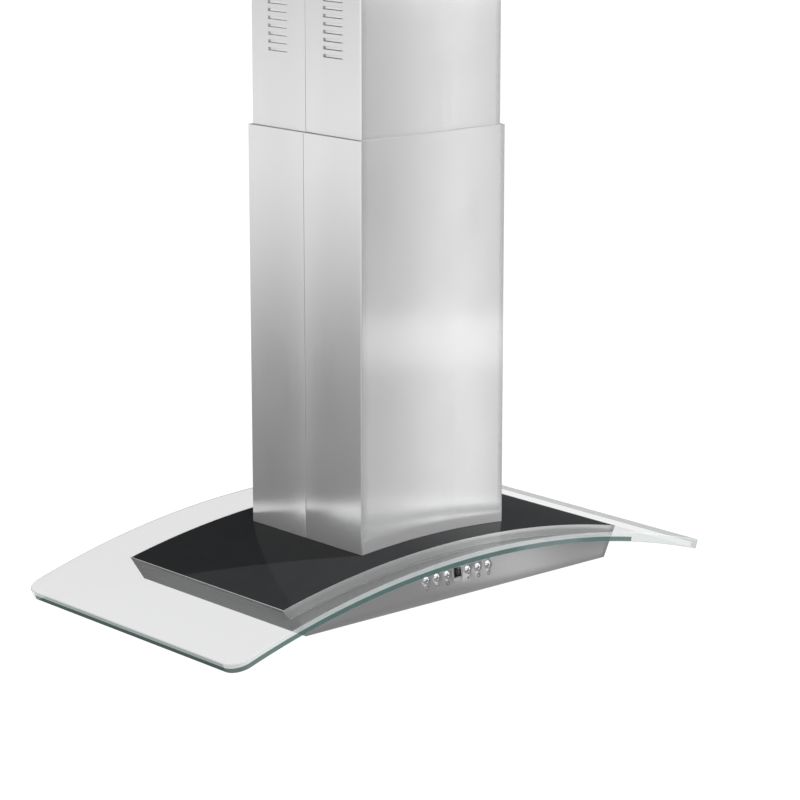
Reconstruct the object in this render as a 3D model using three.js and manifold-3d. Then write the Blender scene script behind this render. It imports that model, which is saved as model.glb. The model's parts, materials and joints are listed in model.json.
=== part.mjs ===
// Island range hood: an arched glass canopy on a shallow steel body, hung from the ceiling
// by a telescopic angle frame inside a two-stage chimney cover. Millimetres, +Z up.
// The origin is the centre of the ceiling plate's top face, the controls face -Y.

import * as THREE from 'three';
import { mergeVertices } from 'three/addons/utils/BufferGeometryUtils.js';
import Module from 'manifold-3d';

const wasm = await Module();
wasm.setup();

// ---- driving dimensions ----------------------------------------------------------------

const GAP = 0.3;                    // air left between neighbouring pieces
const PAST = 5;                     // how far a cutting tool runs past what it cuts
const SHEET = 1.2;                  // body sheet steel
const COVER_SHEET = 1;              // chimney cover sheet steel
const BASE_Z = -960;                // underside of the steel body below the ceiling

const ARCH_RADIUS = 1414;           // underside of the bent glass
const ARCH_APEX = 65;               // underside of the glass above the body's underside
const ARCH_CENTRE_Z = BASE_Z + ARCH_APEX - ARCH_RADIUS;
const ARCH_REACH = 495;             // half length of the tools bent to the arch
const STATIONS = { body: 14, layer: 18, glass: 20 };

const GLASS = { halfChord: 452, depth: 487.5, thickness: 14, setback: 8.5, corner: 25, cornerSteps: 5 };
const GLASS_JOINT = 1.5;            // bonded joint round the body
const LEDGE = { reach: 4.2, thickness: 1.5, drop: 1.9 };
const SEAL = { reach: 3.8, thickness: 1.3 };

const BODY = {
  footHalfX: 291, footFront: -183, footRear: 185,
  headHalfX: 323.5, headFront: -173, headRear: 173,
  level: 13,                        // top cover's upper face above the arch's underside
  extendLow: -0.3, extendHigh: 1.5, // ends of the form, as shares of the way from foot to head
};
const COVER_OPENING = { halfX: 92, halfY: 82 };

const LOWER_CHIMNEY = { halfX: 136.75, halfY: 123.25, top: BASE_Z + 660 };
const UPPER_CHIMNEY = { halfX: 132, halfY: 118.5, top: 0, bottom: BASE_Z + 560 };
const LIP = { length: 10, joggle: 5, ramp: 2 };
const FOOT_GAP = 0.4;               // between the black cover and the chimney's foot
const LOUVRE = { count: 12, pitch: 11, length: 41, height: 4, firstZ: BASE_Z + 770.5, columnY: 60 };

const PLATE = {
  halfX: 128, halfY: 114.5, thickness: 3, holeRadius: 78, holeSides: 32, flange: 25, flangeHalfX: 98,
};
const ANCHOR = { length: 30, width: 9, x: 98, y: 96 };
const UPPER_LEG = { halfX: 128, halfY: 114.5, arm: 24, bottom: BASE_Z + 440 };
const LOWER_LEG = { halfX: 125.6, halfY: 112.1, arm: 22, top: BASE_Z + 560 };
const LEG_SHEET = 2;
const LEG_TRAVEL = 200;
const CLAMP = {
  x: 116, z: BASE_Z + 520, shank: 3, head: 6, headDepth: 2.2, crown: 3.6, nut: 5.2, nutDepth: 4.5,
  seat: 0.4, slotMargin: 1, slotEnd: 8, sides: 10,
};
const FRAME_BASE = { halfX: 126, halfY: 112.6, innerX: 101.5, innerY: 96, thickness: 2 };

const MOTOR_BOX = { halfX: 100, halfY: 95, top: BASE_Z + 345, sheet: 1 };
const SCROLL = {
  y: -24, z: BASE_Z + 196, start: THREE.MathUtils.degToRad(66), minRadius: 56, maxRadius: 84,
  halfWidth: 40, wall: 1.2, steps: 22, inlet: 47, inletSides: 28,
};
const IMPELLER = {
  radius: 52, inner: 43, halfWidth: 37, ring: 2, hub: 9, hubEnd: 3, shaft: 4, sides: 30,
  blades: 20, blade: 1.4, bladeEnd: 36.5, bladeFrom: 44, bladeTo: 51.2,
};
const MOTOR = {
  radius: 33, back: -45, front: -6, backRound: 3, frontRound: 2, boreDepth: 29, sides: 20,
};
const SHAFT_END = 6;
const SHAFT_SIDES = 12;
const SPIDER = { ring: 39, reach: 54, arm: 9, arms: 3, sides: 24 };

const COLLAR = { inner: 72.5, outer: 74, flange: 84, height: 50, sides: 32 };
const DAMPER = {
  radius: 70.5, pinZ: MOTOR_BOX.top + 26, pin: 1.5, pinEnd: 2, sheet: 0.8, leafFrom: 3.8,
};
const KNUCKLE = { radius: 3, bore: 1.8, tabFrom: 2.2, tabTo: 5, middle: 24, end: 60, sides: 10 };

const CONTROLS = { x: -4.5, z: 34, pitch: 20, bore: 6.3 };
const BUTTON = {
  radius: 6, crown: 3, domeRadius: 3.6, dome: 2.5, shoulder: 0.8,
  flange: 7.4, flangeFrom: 1.6, flangeTo: 3.1, sides: 14,
};
const BUTTON_SLOTS = [-3, -2, -1, 1, 2, 3];
const DISPLAY = { width: 13.6, height: 14, depth: 6.4, sink: 0.3 };
const BOARD = { halfX: 74, height: 34, thickness: 1.6, offset: 7.4 };

const FILTER = { halfX: 104, rear: 143.5, front: -142.5, height: 10, sideRim: 8, endRim: 16, x: 110.5 };
const BAFFLES = {
  count: 5, pitch: 38.4, width: 22, upperWidth: 24, depth: 1.2, low: 1, high: 7.4, root: 1,
};
const FILTER_OPENING = { halfX: 105, rear: 144.8, front: -143.6 };
const LATCH = { halfX: 15, front: -142, rear: -130.6, travel: 4, height: 2.8 };
const FINGER = { halfX: 11, drop: 2.2, root: 1, from: -133.6, to: -131.6 };
const NOSE = { halfX: 7.5, low: 0.8, reach: 1 };

const LAMP = {
  x: 252, y: 116, hole: 28.6, cup: 28, bezel: 33, chamfer: 1, wall: 1.6, height: 22,
  lens: 25.6, lensLow: -1.4, lensHigh: 1, sides: 20,
};
const JUNCTION_BOX = { from: 100.4, to: 121.5, halfY: 30, low: BASE_Z + 270, high: BASE_Z + 322 };
const GLAND = { radius: 8, neck: 5.5, bore: 3.5, insert: 2, nut: 9.6, taper: 2, height: 16, sides: 12 };

const LIMIT = 2000;                 // half size of the blocks that trim away a half space

// ---- materials -------------------------------------------------------------------------

function finish(color, roughness, metalness) {
  return new THREE.MeshStandardMaterial({ color, roughness, metalness });
}

const STAINLESS = finish('#c9cacb', 0.34, 1);
const GALVANISED = finish('#a9adb0', 0.5, 1);
const BLACK_ENAMEL = finish('#141516', 0.12, 0.1);
const CLEAR_GLASS = finish('#dfe8e5', 0.04, 0);
const CHROME = finish('#e2e3e4', 0.12, 1);
const BLACK_RUBBER = finish('#1b1b1b', 0.8, 0);
const BLACK_PLASTIC = finish('#202123', 0.5, 0);
const GREY_PLASTIC = finish('#8b8e90', 0.55, 0);
const DISPLAY_BLACK = finish('#0a0b0c', 0.08, 0);
const BOARD_GREEN = finish('#1f5a38', 0.55, 0);
const FROSTED = finish('#f1f0ea', 0.35, 0);

// ---- solids ----------------------------------------------------------------------------

function solid(geometry) {
  const bare = geometry.clone();
  bare.deleteAttribute('normal');
  bare.deleteAttribute('uv');
  const merged = mergeVertices(bare, 1e-4);
  return new wasm.Manifold(new wasm.Mesh({
    numProp: 3,
    vertProperties: new Float32Array(merged.attributes.position.array),
    triVerts: new Uint32Array(merged.index.array),
  }));
}

function surface(body) {
  const mesh = body.getMesh();
  const positions = new Float32Array(mesh.vertProperties);
  const geometry = new THREE.BufferGeometry();
  geometry.setAttribute('position', new THREE.BufferAttribute(positions, 3));
  geometry.setIndex(new THREE.BufferAttribute(new Uint32Array(mesh.triVerts), 1));
  geometry.computeVertexNormals();
  return geometry;
}

function block(x0, x1, y0, y1, z0, z1) {
  const geometry = new THREE.BoxGeometry(x1 - x0, y1 - y0, z1 - z0);
  return solid(geometry.translate((x0 + x1) / 2, (y0 + y1) / 2, (z0 + z1) / 2));
}

// A round bar of the given radius along 'x', 'y' or 'z', from one coordinate to the other.
function bar(axis, radius, from, to, sides = 20) {
  const geometry = new THREE.CylinderGeometry(radius, radius, to - from, sides);
  geometry.translate(0, (from + to) / 2, 0);
  if (axis === 'x') geometry.rotateZ(-Math.PI / 2);
  if (axis === 'z') geometry.rotateX(Math.PI / 2);
  return solid(geometry);
}

// A turned piece about Z: points are [radius, z] and start and end on the axis, or close.
function turned(points, sides) {
  const geometry = new THREE.LatheGeometry(points.map(([r, z]) => new THREE.Vector2(r, z)), sides);
  return solid(geometry.rotateX(Math.PI / 2));
}

function prism(outline, from, to) {
  const shape = new THREE.Shape(outline.map(([x, y]) => new THREE.Vector2(x, y)));
  const geometry = new THREE.ExtrudeGeometry(shape, { depth: to - from, bevelEnabled: false });
  return solid(geometry.translate(0, 0, from));
}

const union = (bodies) => bodies.reduce((sum, body) => sum.add(body));

// A closed block through four-cornered sections that follow each other along X.
// Corners run low front, low rear, high rear, high front.
function loft(sections) {
  const positions = sections.flat(2);
  const index = [];
  sections.slice(1).forEach((_, i) => {
    const a = 4 * i;
    for (let k = 0; k < 4; k += 1) {
      const next = (k + 1) % 4;
      index.push(a + k, a + 4 + next, a + 4 + k, a + k, a + next, a + 4 + next);
    }
  });
  const last = 4 * (sections.length - 1);
  index.push(0, 2, 1, 0, 3, 2, last, last + 1, last + 2, last, last + 2, last + 3);
  const geometry = new THREE.BufferGeometry();
  geometry.setAttribute('position', new THREE.BufferAttribute(new Float32Array(positions), 3));
  geometry.setIndex(index);
  return solid(geometry);
}

// ---- the arch --------------------------------------------------------------------------

// Point on the arch at a level above the glass's underside, by angle from the vertical.
function archPoint(angle, level) {
  const radius = ARCH_RADIUS + level;
  return [radius * Math.sin(angle), ARCH_CENTRE_Z + radius * Math.cos(angle)];
}

const archHeight = (x, level) => ARCH_CENTRE_Z + Math.sqrt((ARCH_RADIUS + level) ** 2 - x * x);

// A bent plate between two levels; depthAt gives [front, rear] at a distance along the arc.
function bentPlate(distances, low, high, depthAt) {
  return loft(distances.map((distance) => {
    const angle = distance / ARCH_RADIUS;
    const [xLow, zLow] = archPoint(angle, low);
    const [xHigh, zHigh] = archPoint(angle, high);
    const [front, rear] = depthAt(distance);
    return [[xLow, front, zLow], [xLow, rear, zLow], [xHigh, rear, zHigh], [xHigh, front, zHigh]];
  }));
}

function steps(from, to, count) {
  return Array.from({ length: count + 1 }, (_, i) => from + ((to - from) * i) / count);
}

function archLayer(low, high) {
  const distances = steps(-ARCH_REACH, ARCH_REACH, STATIONS.layer);
  return bentPlate(distances, low, high, () => [-GLASS.depth, GLASS.depth]);
}

// The body's outer form grown past its foot and head, with its sides moved in by the insets.
function bodyForm(insetX, insetY) {
  const section = (u) => {
    const footX = u * (BODY.footHalfX - insetX);
    const foot = [footX, BODY.footFront + insetY, BODY.footRear - insetY, BASE_Z];
    const headX = u * (BODY.headHalfX - insetX);
    const headZ = archHeight(u * BODY.headHalfX, BODY.level);
    const head = [headX, BODY.headFront + insetY, BODY.headRear - insetY, headZ];
    const along = (t) => foot.map((value, k) => value + t * (head[k] - value));
    const [xLow, frontLow, rearLow, zLow] = along(BODY.extendLow);
    const [xHigh, frontHigh, rearHigh, zHigh] = along(BODY.extendHigh);
    return [
      [xLow, frontLow, zLow], [xLow, rearLow, zLow],
      [xHigh, rearHigh, zHigh], [xHigh, frontHigh, zHigh],
    ];
  };
  return loft(steps(-1, 1, STATIONS.body).map(section));
}

const CLEAR_OF = -60;               // an inset that pushes a side well outside the body
const ARCH_TOOL = 200;              // thickness of the bent tools that cut above or below the arch
const above = (z) => block(-LIMIT, LIMIT, -LIMIT, LIMIT, z, LIMIT);
const inFront = (y) => block(-LIMIT, LIMIT, -LIMIT, y, -LIMIT, LIMIT);
const leftOf = (x) => block(-LIMIT, x, -LIMIT, LIMIT, -LIMIT, LIMIT);
const overArch = (level) => archLayer(level, level + ARCH_TOOL);
const underArch = (level) => archLayer(level - ARCH_TOOL, level);

// ---- steel body ------------------------------------------------------------------------

const WALL_LEVEL = BODY.level - SHEET - GAP;
const wallTrim = (wall) => wall.intersect(above(BASE_Z)).subtract(overArch(WALL_LEVEL));

function longWalls() {
  const walls = wallTrim(bodyForm(0, 0).subtract(bodyForm(CLEAR_OF, SHEET)));
  return { front: walls.intersect(inFront(0)), rear: walls.subtract(inFront(0)) };
}

function endWalls() {
  const walls = wallTrim(bodyForm(0, SHEET + GAP).subtract(bodyForm(SHEET, CLEAR_OF)));
  return { left: walls.intersect(leftOf(0)), right: walls.subtract(leftOf(0)) };
}

const BOTTOM_GAP = 3 * GAP;         // clears the walls' lean over the panel's own thickness

function bottomPanel() {
  const inset = SHEET + BOTTOM_GAP;
  const halfX = BODY.footHalfX - inset;
  const openings = [-1, 1].map((side) => block(
    side * FILTER.x - FILTER_OPENING.halfX, side * FILTER.x + FILTER_OPENING.halfX,
    FILTER_OPENING.front, FILTER_OPENING.rear, BASE_Z - PAST, BASE_Z + PAST,
  ));
  const lampHole = bar('z', LAMP.hole, BASE_Z - PAST, BASE_Z + PAST, LAMP.sides);
  const lampHoles = lampPlaces().map(([x, y]) => lampHole.translate([x, y, 0]));
  const [front, rear] = [BODY.footFront + inset, BODY.footRear - inset];
  const plate = block(-halfX, halfX, front, rear, BASE_Z, BASE_Z + SHEET);
  return plate.subtract(union([...openings, ...lampHoles]));
}

function topCover() {
  const { halfX, halfY } = COVER_OPENING;
  const opening = block(-halfX, halfX, -halfY, halfY, BASE_Z, 0);
  return bodyForm(0, 0).intersect(archLayer(BODY.level - SHEET, BODY.level)).subtract(opening);
}

// ---- glass -----------------------------------------------------------------------------

// Half depth of the glass at a distance along its arc, drawn in at the rounded corners.
function glassHalfDepth(distance, halfLength) {
  const into = Math.max(Math.abs(distance) - (halfLength - GLASS.corner), 0);
  return GLASS.depth / 2 - GLASS.corner + Math.sqrt(Math.max(GLASS.corner ** 2 - into ** 2, 0));
}

function glassDistances(halfLength) {
  const straight = halfLength - GLASS.corner;
  const turns = steps(0, Math.PI / 2, GLASS.cornerSteps);
  const corner = turns.map((angle) => straight + GLASS.corner * Math.sin(angle));
  const left = corner.map((distance) => -distance).reverse();
  return [...left.slice(0, -1), ...steps(-straight, straight, STATIONS.glass), ...corner.slice(1)];
}

function glassCanopy() {
  const halfLength = ARCH_RADIUS * Math.asin(GLASS.halfChord / ARCH_RADIUS);
  const depthAt = (distance) => {
    const half = glassHalfDepth(distance, halfLength);
    return [GLASS.setback - half, GLASS.setback + half];
  };
  const sheet = bentPlate(glassDistances(halfLength), 0, GLASS.thickness, depthAt);
  return sheet.subtract(bodyForm(-GLASS_JOINT, -GLASS_JOINT));
}

function ringUnderGlass(reach, low, high) {
  const ring = bodyForm(-reach, -reach).intersect(archLayer(low, high));
  return ring.subtract(bodyForm(-GAP, -GAP));
}

const glassLedge = () => ringUnderGlass(LEDGE.reach, -LEDGE.drop - LEDGE.thickness, -LEDGE.drop);
const glassSeal = () => ringUnderGlass(SEAL.reach, -GAP - SEAL.thickness, -GAP);

// ---- chimney covers --------------------------------------------------------------------

// Plan of a U-shaped cover half whose ends meet the other half at y = 0. The half at -Y
// has a joggled lip at each end, which laps behind the other half.
function coverHalf({ halfX, halfY }, side) {
  const seam = -GAP / 2;
  const inner = halfX - COVER_SHEET;
  const lipOuter = inner - GAP;
  const lipInner = lipOuter - COVER_SHEET;
  const { length, joggle, ramp } = LIP;
  const lip = [
    [lipOuter, seam], [lipOuter, length], [lipInner, length],
    [lipInner, -joggle], [inner, -joggle - ramp],
  ];
  const rightEnd = side < 0 ? lip : [[inner, seam]];
  const leftEnd = rightEnd.map(([x, y]) => [-x, y]).reverse();
  const outline = [
    [-halfX, seam], [-halfX, -halfY], [halfX, -halfY], [halfX, seam], ...rightEnd,
    [inner, COVER_SHEET - halfY], [-inner, COVER_SHEET - halfY], ...leftEnd,
  ];
  return side < 0 ? outline : outline.map(([x, y]) => [-x, -y]);
}

function louvres() {
  const slots = [];
  for (let i = 0; i < LOUVRE.count; i += 1) {
    const z = LOUVRE.firstZ + i * LOUVRE.pitch;
    [-1, 1].forEach((side) => slots.push(block(
      -UPPER_CHIMNEY.halfX - PAST, UPPER_CHIMNEY.halfX + PAST,
      side * LOUVRE.columnY - LOUVRE.length / 2, side * LOUVRE.columnY + LOUVRE.length / 2,
      z - LOUVRE.height / 2, z + LOUVRE.height / 2,
    )));
  }
  return union(slots);
}

function lowerChimney(side) {
  const body = prism(coverHalf(LOWER_CHIMNEY, side), BASE_Z, LOWER_CHIMNEY.top);
  return body.subtract(underArch(BODY.level + FOOT_GAP));
}

function upperChimney(side) {
  const body = prism(coverHalf(UPPER_CHIMNEY, side), UPPER_CHIMNEY.bottom, UPPER_CHIMNEY.top);
  return body.subtract(louvres());
}

// ---- ceiling frame ---------------------------------------------------------------------

function ceilingPlate() {
  const { halfX, halfY, thickness, holeRadius, holeSides, flange, flangeHalfX } = PLATE;
  const plate = block(-halfX, halfX, -halfY, halfY, -thickness, 0);
  const flanges = [-1, 1].map((side) => {
    const face = side * halfY;
    const back = side * (halfY - LEG_SHEET);
    return block(-flangeHalfX, flangeHalfX, Math.min(face, back), Math.max(face, back), -flange, 0);
  });
  const anchors = corners(ANCHOR.x, ANCHOR.y).map(([x, y]) => block(
    x - ANCHOR.length / 2, x + ANCHOR.length / 2, y - ANCHOR.width / 2, y + ANCHOR.width / 2,
    -thickness - PAST, PAST,
  ));
  const hole = bar('z', holeRadius, -flange, PAST, holeSides);
  return union([plate, ...flanges]).subtract(union([hole, ...anchors]));
}

function corners(x, y) {
  return [[-x, -y], [x, -y], [x, y], [-x, y]];
}

const CORNER_NAMES = ['front_left', 'front_right', 'rear_right', 'rear_left'];

// An angle section standing in the corner whose outer faces are at (x, y).
function angleLeg(x, y, arm, from, to) {
  const [sx, sy] = [Math.sign(x), Math.sign(y)];
  const outline = [
    [x, y], [x - sx * arm, y], [x - sx * arm, y - sy * LEG_SHEET],
    [x - sx * LEG_SHEET, y - sy * LEG_SHEET], [x - sx * LEG_SHEET, y - sy * arm], [x, y - sy * arm],
  ];
  return prism(outline, from, to);
}

function upperLeg(x, y) {
  const leg = angleLeg(x, y, UPPER_LEG.arm, UPPER_LEG.bottom, -PLATE.thickness - GAP);
  const slotX = Math.sign(x) * CLAMP.x;
  const halfSlot = CLAMP.shank + CLAMP.slotMargin;
  const end = halfSlot + CLAMP.slotEnd;
  return leg.subtract(block(
    slotX - halfSlot, slotX + halfSlot, y - PAST, y + PAST, CLAMP.z - end, CLAMP.z + LEG_TRAVEL + end,
  ));
}

function lowerLeg(x, y) {
  const leg = angleLeg(x, y, LOWER_LEG.arm, BASE_Z, LOWER_LEG.top);
  const bore = bar('y', CLAMP.shank + GAP, y - PAST, y + PAST, CLAMP.sides);
  const hole = bore.translate([Math.sign(x) * CLAMP.x, 0, CLAMP.z]);
  return leg.subtract(underArch(BODY.level + FRAME_BASE.thickness + 2 * GAP)).subtract(hole);
}

// Domed bolt and its nut, clamping a lower leg inside an upper one.
function clampBolt(side) {
  const { shank, head, headDepth, crown, nut, nutDepth, seat, sides } = CLAMP;
  const under = UPPER_LEG.halfY + seat;
  const nutFrom = LOWER_LEG.halfY - LEG_SHEET - seat;
  const profile = [
    [0, under + headDepth], [crown, under + headDepth], [head, under],
    [shank, under], [shank, nutFrom], [nut, nutFrom],
    [nut, nutFrom - nutDepth], [0, nutFrom - nutDepth],
  ];
  const bolt = turned(profile.reverse(), sides).rotate([90, 0, 0]);
  return side < 0 ? bolt : bolt.rotate([0, 0, 180]);
}

function frameBase() {
  const { halfX, halfY, innerX, innerY, thickness } = FRAME_BASE;
  const level = BODY.level + GAP;
  const ring = block(-halfX, halfX, -halfY, halfY, BASE_Z, 0).subtract(
    block(-innerX, innerX, -innerY, innerY, BASE_Z, 0),
  );
  return ring.intersect(archLayer(level, level + thickness));
}

// ---- blower ----------------------------------------------------------------------------

function motorBox() {
  const { halfX, halfY, top, sheet } = MOTOR_BOX;
  const outer = block(-halfX, halfX, -halfY, halfY, BASE_Z, top);
  const [inX, inY] = [halfX - sheet, halfY - sheet];
  const inner = block(-inX, inX, -inY, inY, BASE_Z - PAST, top - sheet);
  const outlet = block(
    -SCROLL.halfWidth, SCROLL.halfWidth, scrollTongueY(), SCROLL.y + SCROLL.maxRadius,
    top - PAST, top + PAST,
  );
  return outer.subtract(inner).subtract(outlet).subtract(underArch(BODY.level + GAP));
}

function scrollRadius(angle) {
  const turn = (angle - SCROLL.start) / (2 * Math.PI - SCROLL.start);
  return SCROLL.minRadius + (SCROLL.maxRadius - SCROLL.minRadius) * turn;
}

const scrollTongueY = () => SCROLL.y + SCROLL.minRadius * Math.cos(SCROLL.start);

// Points [y, z] along the spiral from one angle round to the outlet, grown by an offset.
function spiral(from, grow) {
  return steps(from, 2 * Math.PI, SCROLL.steps).map((angle) => {
    const radius = scrollRadius(angle) + grow;
    return [SCROLL.y + radius * Math.cos(angle), SCROLL.z + radius * Math.sin(angle)];
  });
}

// Extrudes an outline drawn in Y and Z along X.
function acrossX(outline, from, to) {
  return prism(outline, from, to).rotate([90, 0, 90]);
}

const SCROLL_TOP = MOTOR_BOX.top - MOTOR_BOX.sheet - GAP;

function scrollOuter() {
  const outerY = scrollTongueY() - SCROLL.wall;
  const start = Math.acos((outerY - SCROLL.y) / (SCROLL.minRadius + SCROLL.wall));
  const outletY = SCROLL.y + SCROLL.maxRadius + SCROLL.wall;
  return [[outerY, SCROLL_TOP], ...spiral(start, SCROLL.wall), [outletY, SCROLL_TOP]];
}

function scrollWall() {
  const outlet = [SCROLL.y + SCROLL.maxRadius, SCROLL_TOP];
  const inside = [outlet, ...spiral(SCROLL.start, 0).reverse(), [scrollTongueY(), SCROLL_TOP]];
  return acrossX([...scrollOuter(), ...inside], -SCROLL.halfWidth, SCROLL.halfWidth);
}

function scrollSide(side) {
  const from = SCROLL.halfWidth + GAP;
  const plate = acrossX(scrollOuter(), from, from + SCROLL.wall);
  const bore = bar('x', SCROLL.inlet, from - PAST, from + PAST, SCROLL.inletSides);
  const inlet = bore.translate([0, SCROLL.y, SCROLL.z]);
  const open = plate.subtract(inlet);
  return side > 0 ? open : open.mirror([1, 0, 0]).add(motorSpider());
}

// Three-armed ring that carries the motor in the left inlet.
function motorSpider() {
  const face = -SCROLL.halfWidth - GAP;
  const ring = bar('x', SPIDER.ring, face - SCROLL.wall, face, SPIDER.sides);
  const arms = Array.from({ length: SPIDER.arms }, (_, i) => {
    const arm = block(face - SCROLL.wall, face, -SPIDER.arm / 2, SPIDER.arm / 2, 0, SPIDER.reach);
    return arm.rotate([(i * 360) / SPIDER.arms, 0, 0]);
  });
  const seat = bar('x', MOTOR.radius + GAP, face - PAST, face + PAST, SPIDER.sides);
  return union([ring, ...arms]).subtract(seat).translate([0, SCROLL.y, SCROLL.z]);
}

function motor() {
  const { radius, back, front, backRound, frontRound, boreDepth, sides } = MOTOR;
  const bore = IMPELLER.shaft + GAP;
  const profile = [
    [0, back], [radius - backRound, back], [radius, back + backRound],
    [radius, front - frontRound], [radius - frontRound, front],
    [bore, front], [bore, front - boreDepth], [0, front - boreDepth],
  ];
  return turned(profile, sides).rotate([0, 90, 0]);
}

function motorShaft() {
  const from = MOTOR.front - MOTOR.boreDepth + GAP;
  return bar('x', IMPELLER.shaft, from, SHAFT_END, SHAFT_SIDES);
}

// Double-inlet squirrel cage: a central disc, two end rings and forward-curved blades.
function impeller() {
  const { radius, inner, halfWidth, ring, hub, hubEnd, shaft, sides, blades } = IMPELLER;
  const disc = bar('x', radius, -ring / 2, ring / 2, sides);
  const hoop = disc.subtract(bar('x', inner, -ring, ring, sides));
  const ends = [-1, 1].map((side) => hoop.translate([side * (halfWidth - ring / 2), 0, 0]));
  const boss = bar('x', hub, -ring, ring + hubEnd, SHAFT_SIDES);
  const { blade, bladeEnd, bladeFrom, bladeTo } = IMPELLER;
  const vane = block(-bladeEnd, bladeEnd, -blade / 2, blade / 2, bladeFrom, bladeTo);
  const cage = Array.from({ length: blades }, (_, i) => vane.rotate([(i * 360) / blades, 0, 0]));
  const bore = bar('x', shaft + GAP, -PAST - ring, PAST + ring, SHAFT_SIDES);
  return union([disc, boss, ...ends, ...cage]).subtract(bore);
}

// ---- duct collar and damper ------------------------------------------------------------

function ductCollar() {
  const base = MOTOR_BOX.top + GAP;
  const { inner, outer, flange, height, sides } = COLLAR;
  const profile = [
    [inner, base], [flange, base], [flange, base + SHEET], [outer, base + SHEET],
    [outer, base + height], [inner, base + height], [inner, base],
  ];
  const pinHole = bar('y', KNUCKLE.bore, -flange, flange, KNUCKLE.sides).translate([0, 0, DAMPER.pinZ]);
  return turned(profile, sides).subtract(pinHole);
}

function damperSpindle() {
  const end = COLLAR.outer + DAMPER.pinEnd;
  return bar('y', DAMPER.pin, -end, end, KNUCKLE.sides);
}

// Half-round flap at +X of the spindle, with knuckles over the given spans of Y.
function damperFlap(knuckles) {
  const { radius, sheet, leafFrom } = DAMPER;
  const { bore, tabFrom, tabTo, sides } = KNUCKLE;
  const disc = bar('z', radius, -sheet / 2, sheet / 2, COLLAR.sides);
  const leaf = disc.intersect(block(leafFrom, radius + PAST, -radius, radius, -sheet, sheet));
  const tabs = knuckles.map(([from, to]) => block(tabFrom, tabTo, from, to, -sheet / 2, sheet / 2));
  const tubes = knuckles.map(([from, to]) => bar('y', KNUCKLE.radius, from, to, sides));
  return union([leaf, ...tabs, ...tubes]).subtract(bar('y', bore, -radius, radius, sides));
}

// ---- controls --------------------------------------------------------------------------

const FRONT_LEAN = Math.atan2(
  BODY.headFront - BODY.footFront, archHeight(0, BODY.level) - BASE_Z,
);
const frontFaceY = (z) => BODY.footFront + z * Math.tan(FRONT_LEAN);

// Everything on the control strip is drawn about the front face: -Y out, +Y into the body.
function controlGroup() {
  const group = new THREE.Group();
  group.position.set(CONTROLS.x, frontFaceY(CONTROLS.z), BASE_Z + CONTROLS.z);
  group.rotation.x = -FRONT_LEAN;
  return group;
}

function controlHoles() {
  const depth = DISPLAY.depth + PAST;
  const [halfX, halfZ] = [DISPLAY.width / 2 + GAP, DISPLAY.height / 2 + GAP];
  const bore = bar('y', CONTROLS.bore, -depth, depth, BUTTON.sides);
  const bores = BUTTON_SLOTS.map((slot) => bore.translate([slot * CONTROLS.pitch, 0, 0]));
  const window = block(-halfX, halfX, -depth, depth, -halfZ, halfZ);
  const holes = union([...bores, window]).rotate([-THREE.MathUtils.radToDeg(FRONT_LEAN), 0, 0]);
  return holes.translate([CONTROLS.x, frontFaceY(CONTROLS.z), BASE_Z + CONTROLS.z]);
}

function button() {
  const { radius, crown, domeRadius, dome, shoulder, flange, flangeFrom, flangeTo, sides } = BUTTON;
  const profile = [
    [0, crown], [domeRadius, dome], [radius, shoulder],
    [radius, -flangeFrom], [flange, -flangeFrom], [flange, -flangeTo], [0, -flangeTo],
  ];
  return turned(profile.reverse(), sides).rotate([90, 0, 0]);
}

function displayWindow() {
  const { width, height, sink, depth } = DISPLAY;
  return block(-width / 2, width / 2, sink, depth, -height / 2, height / 2);
}

function controlBoard() {
  const { halfX, height, thickness, offset } = BOARD;
  return block(-halfX, halfX, offset, offset + thickness, -height / 2, height / 2);
}

// ---- filters and lamps -----------------------------------------------------------------

// Baffles side by side about X = 0, resting on the filter's end rims.
function baffleRow(count, width, z) {
  const { pitch, depth, root } = BAFFLES;
  const from = FILTER.front + FILTER.endRim - root;
  const to = FILTER.rear - FILTER.endRim + root;
  return Array.from({ length: count }, (_, i) => {
    const x = (i - (count - 1) / 2) * pitch;
    return block(x - width / 2, x + width / 2, from, to, z, z + depth);
  });
}

// Baffle filter about X = 0: a rim with two staggered rows of baffles, air passing between.
function baffleFilter() {
  const { halfX, rear, front, height, sideRim, endRim } = FILTER;
  const outer = block(-halfX, halfX, front, rear, 0, height);
  const inner = block(
    sideRim - halfX, halfX - sideRim, front + endRim, rear - endRim, -PAST, height + PAST,
  );
  const { count, width, upperWidth, low, high } = BAFFLES;
  const rows = [...baffleRow(count, width, low), ...baffleRow(count + 1, upperWidth, high)];
  const pocket = block(
    -LATCH.halfX - GAP, LATCH.halfX + GAP, front - PAST, LATCH.rear + LATCH.travel + GAP,
    -PAST, LATCH.height + 2 * GAP,
  );
  return union([outer.subtract(inner), ...rows]).intersect(outer).subtract(pocket);
}

function filterLatch() {
  const { halfX, front, rear, height } = LATCH;
  const { drop, root, from, to } = FINGER;
  const slider = block(-halfX, halfX, front, rear, GAP, height + GAP);
  const finger = block(-FINGER.halfX, FINGER.halfX, from, to, -drop, root + GAP);
  const nose = block(-NOSE.halfX, NOSE.halfX, front - NOSE.reach, front + NOSE.reach, NOSE.low, height);
  return union([slider, finger, nose]);
}

function lampPlaces() {
  return corners(LAMP.x, LAMP.y);
}

function lampHousing() {
  const { cup, bezel, chamfer, lens, wall, height, sides } = LAMP;
  const face = -GAP - wall;
  const profile = [
    [0, height], [cup, height], [cup, -GAP], [bezel, -GAP], [bezel - chamfer, face],
    [lens + GAP, face], [lens + GAP, height - wall], [0, height - wall],
  ];
  return turned(profile.reverse(), sides);
}

const lampLens = () => bar('z', LAMP.lens, LAMP.lensLow, LAMP.lensHigh, LAMP.sides);

// ---- mains connection ------------------------------------------------------------------

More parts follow.
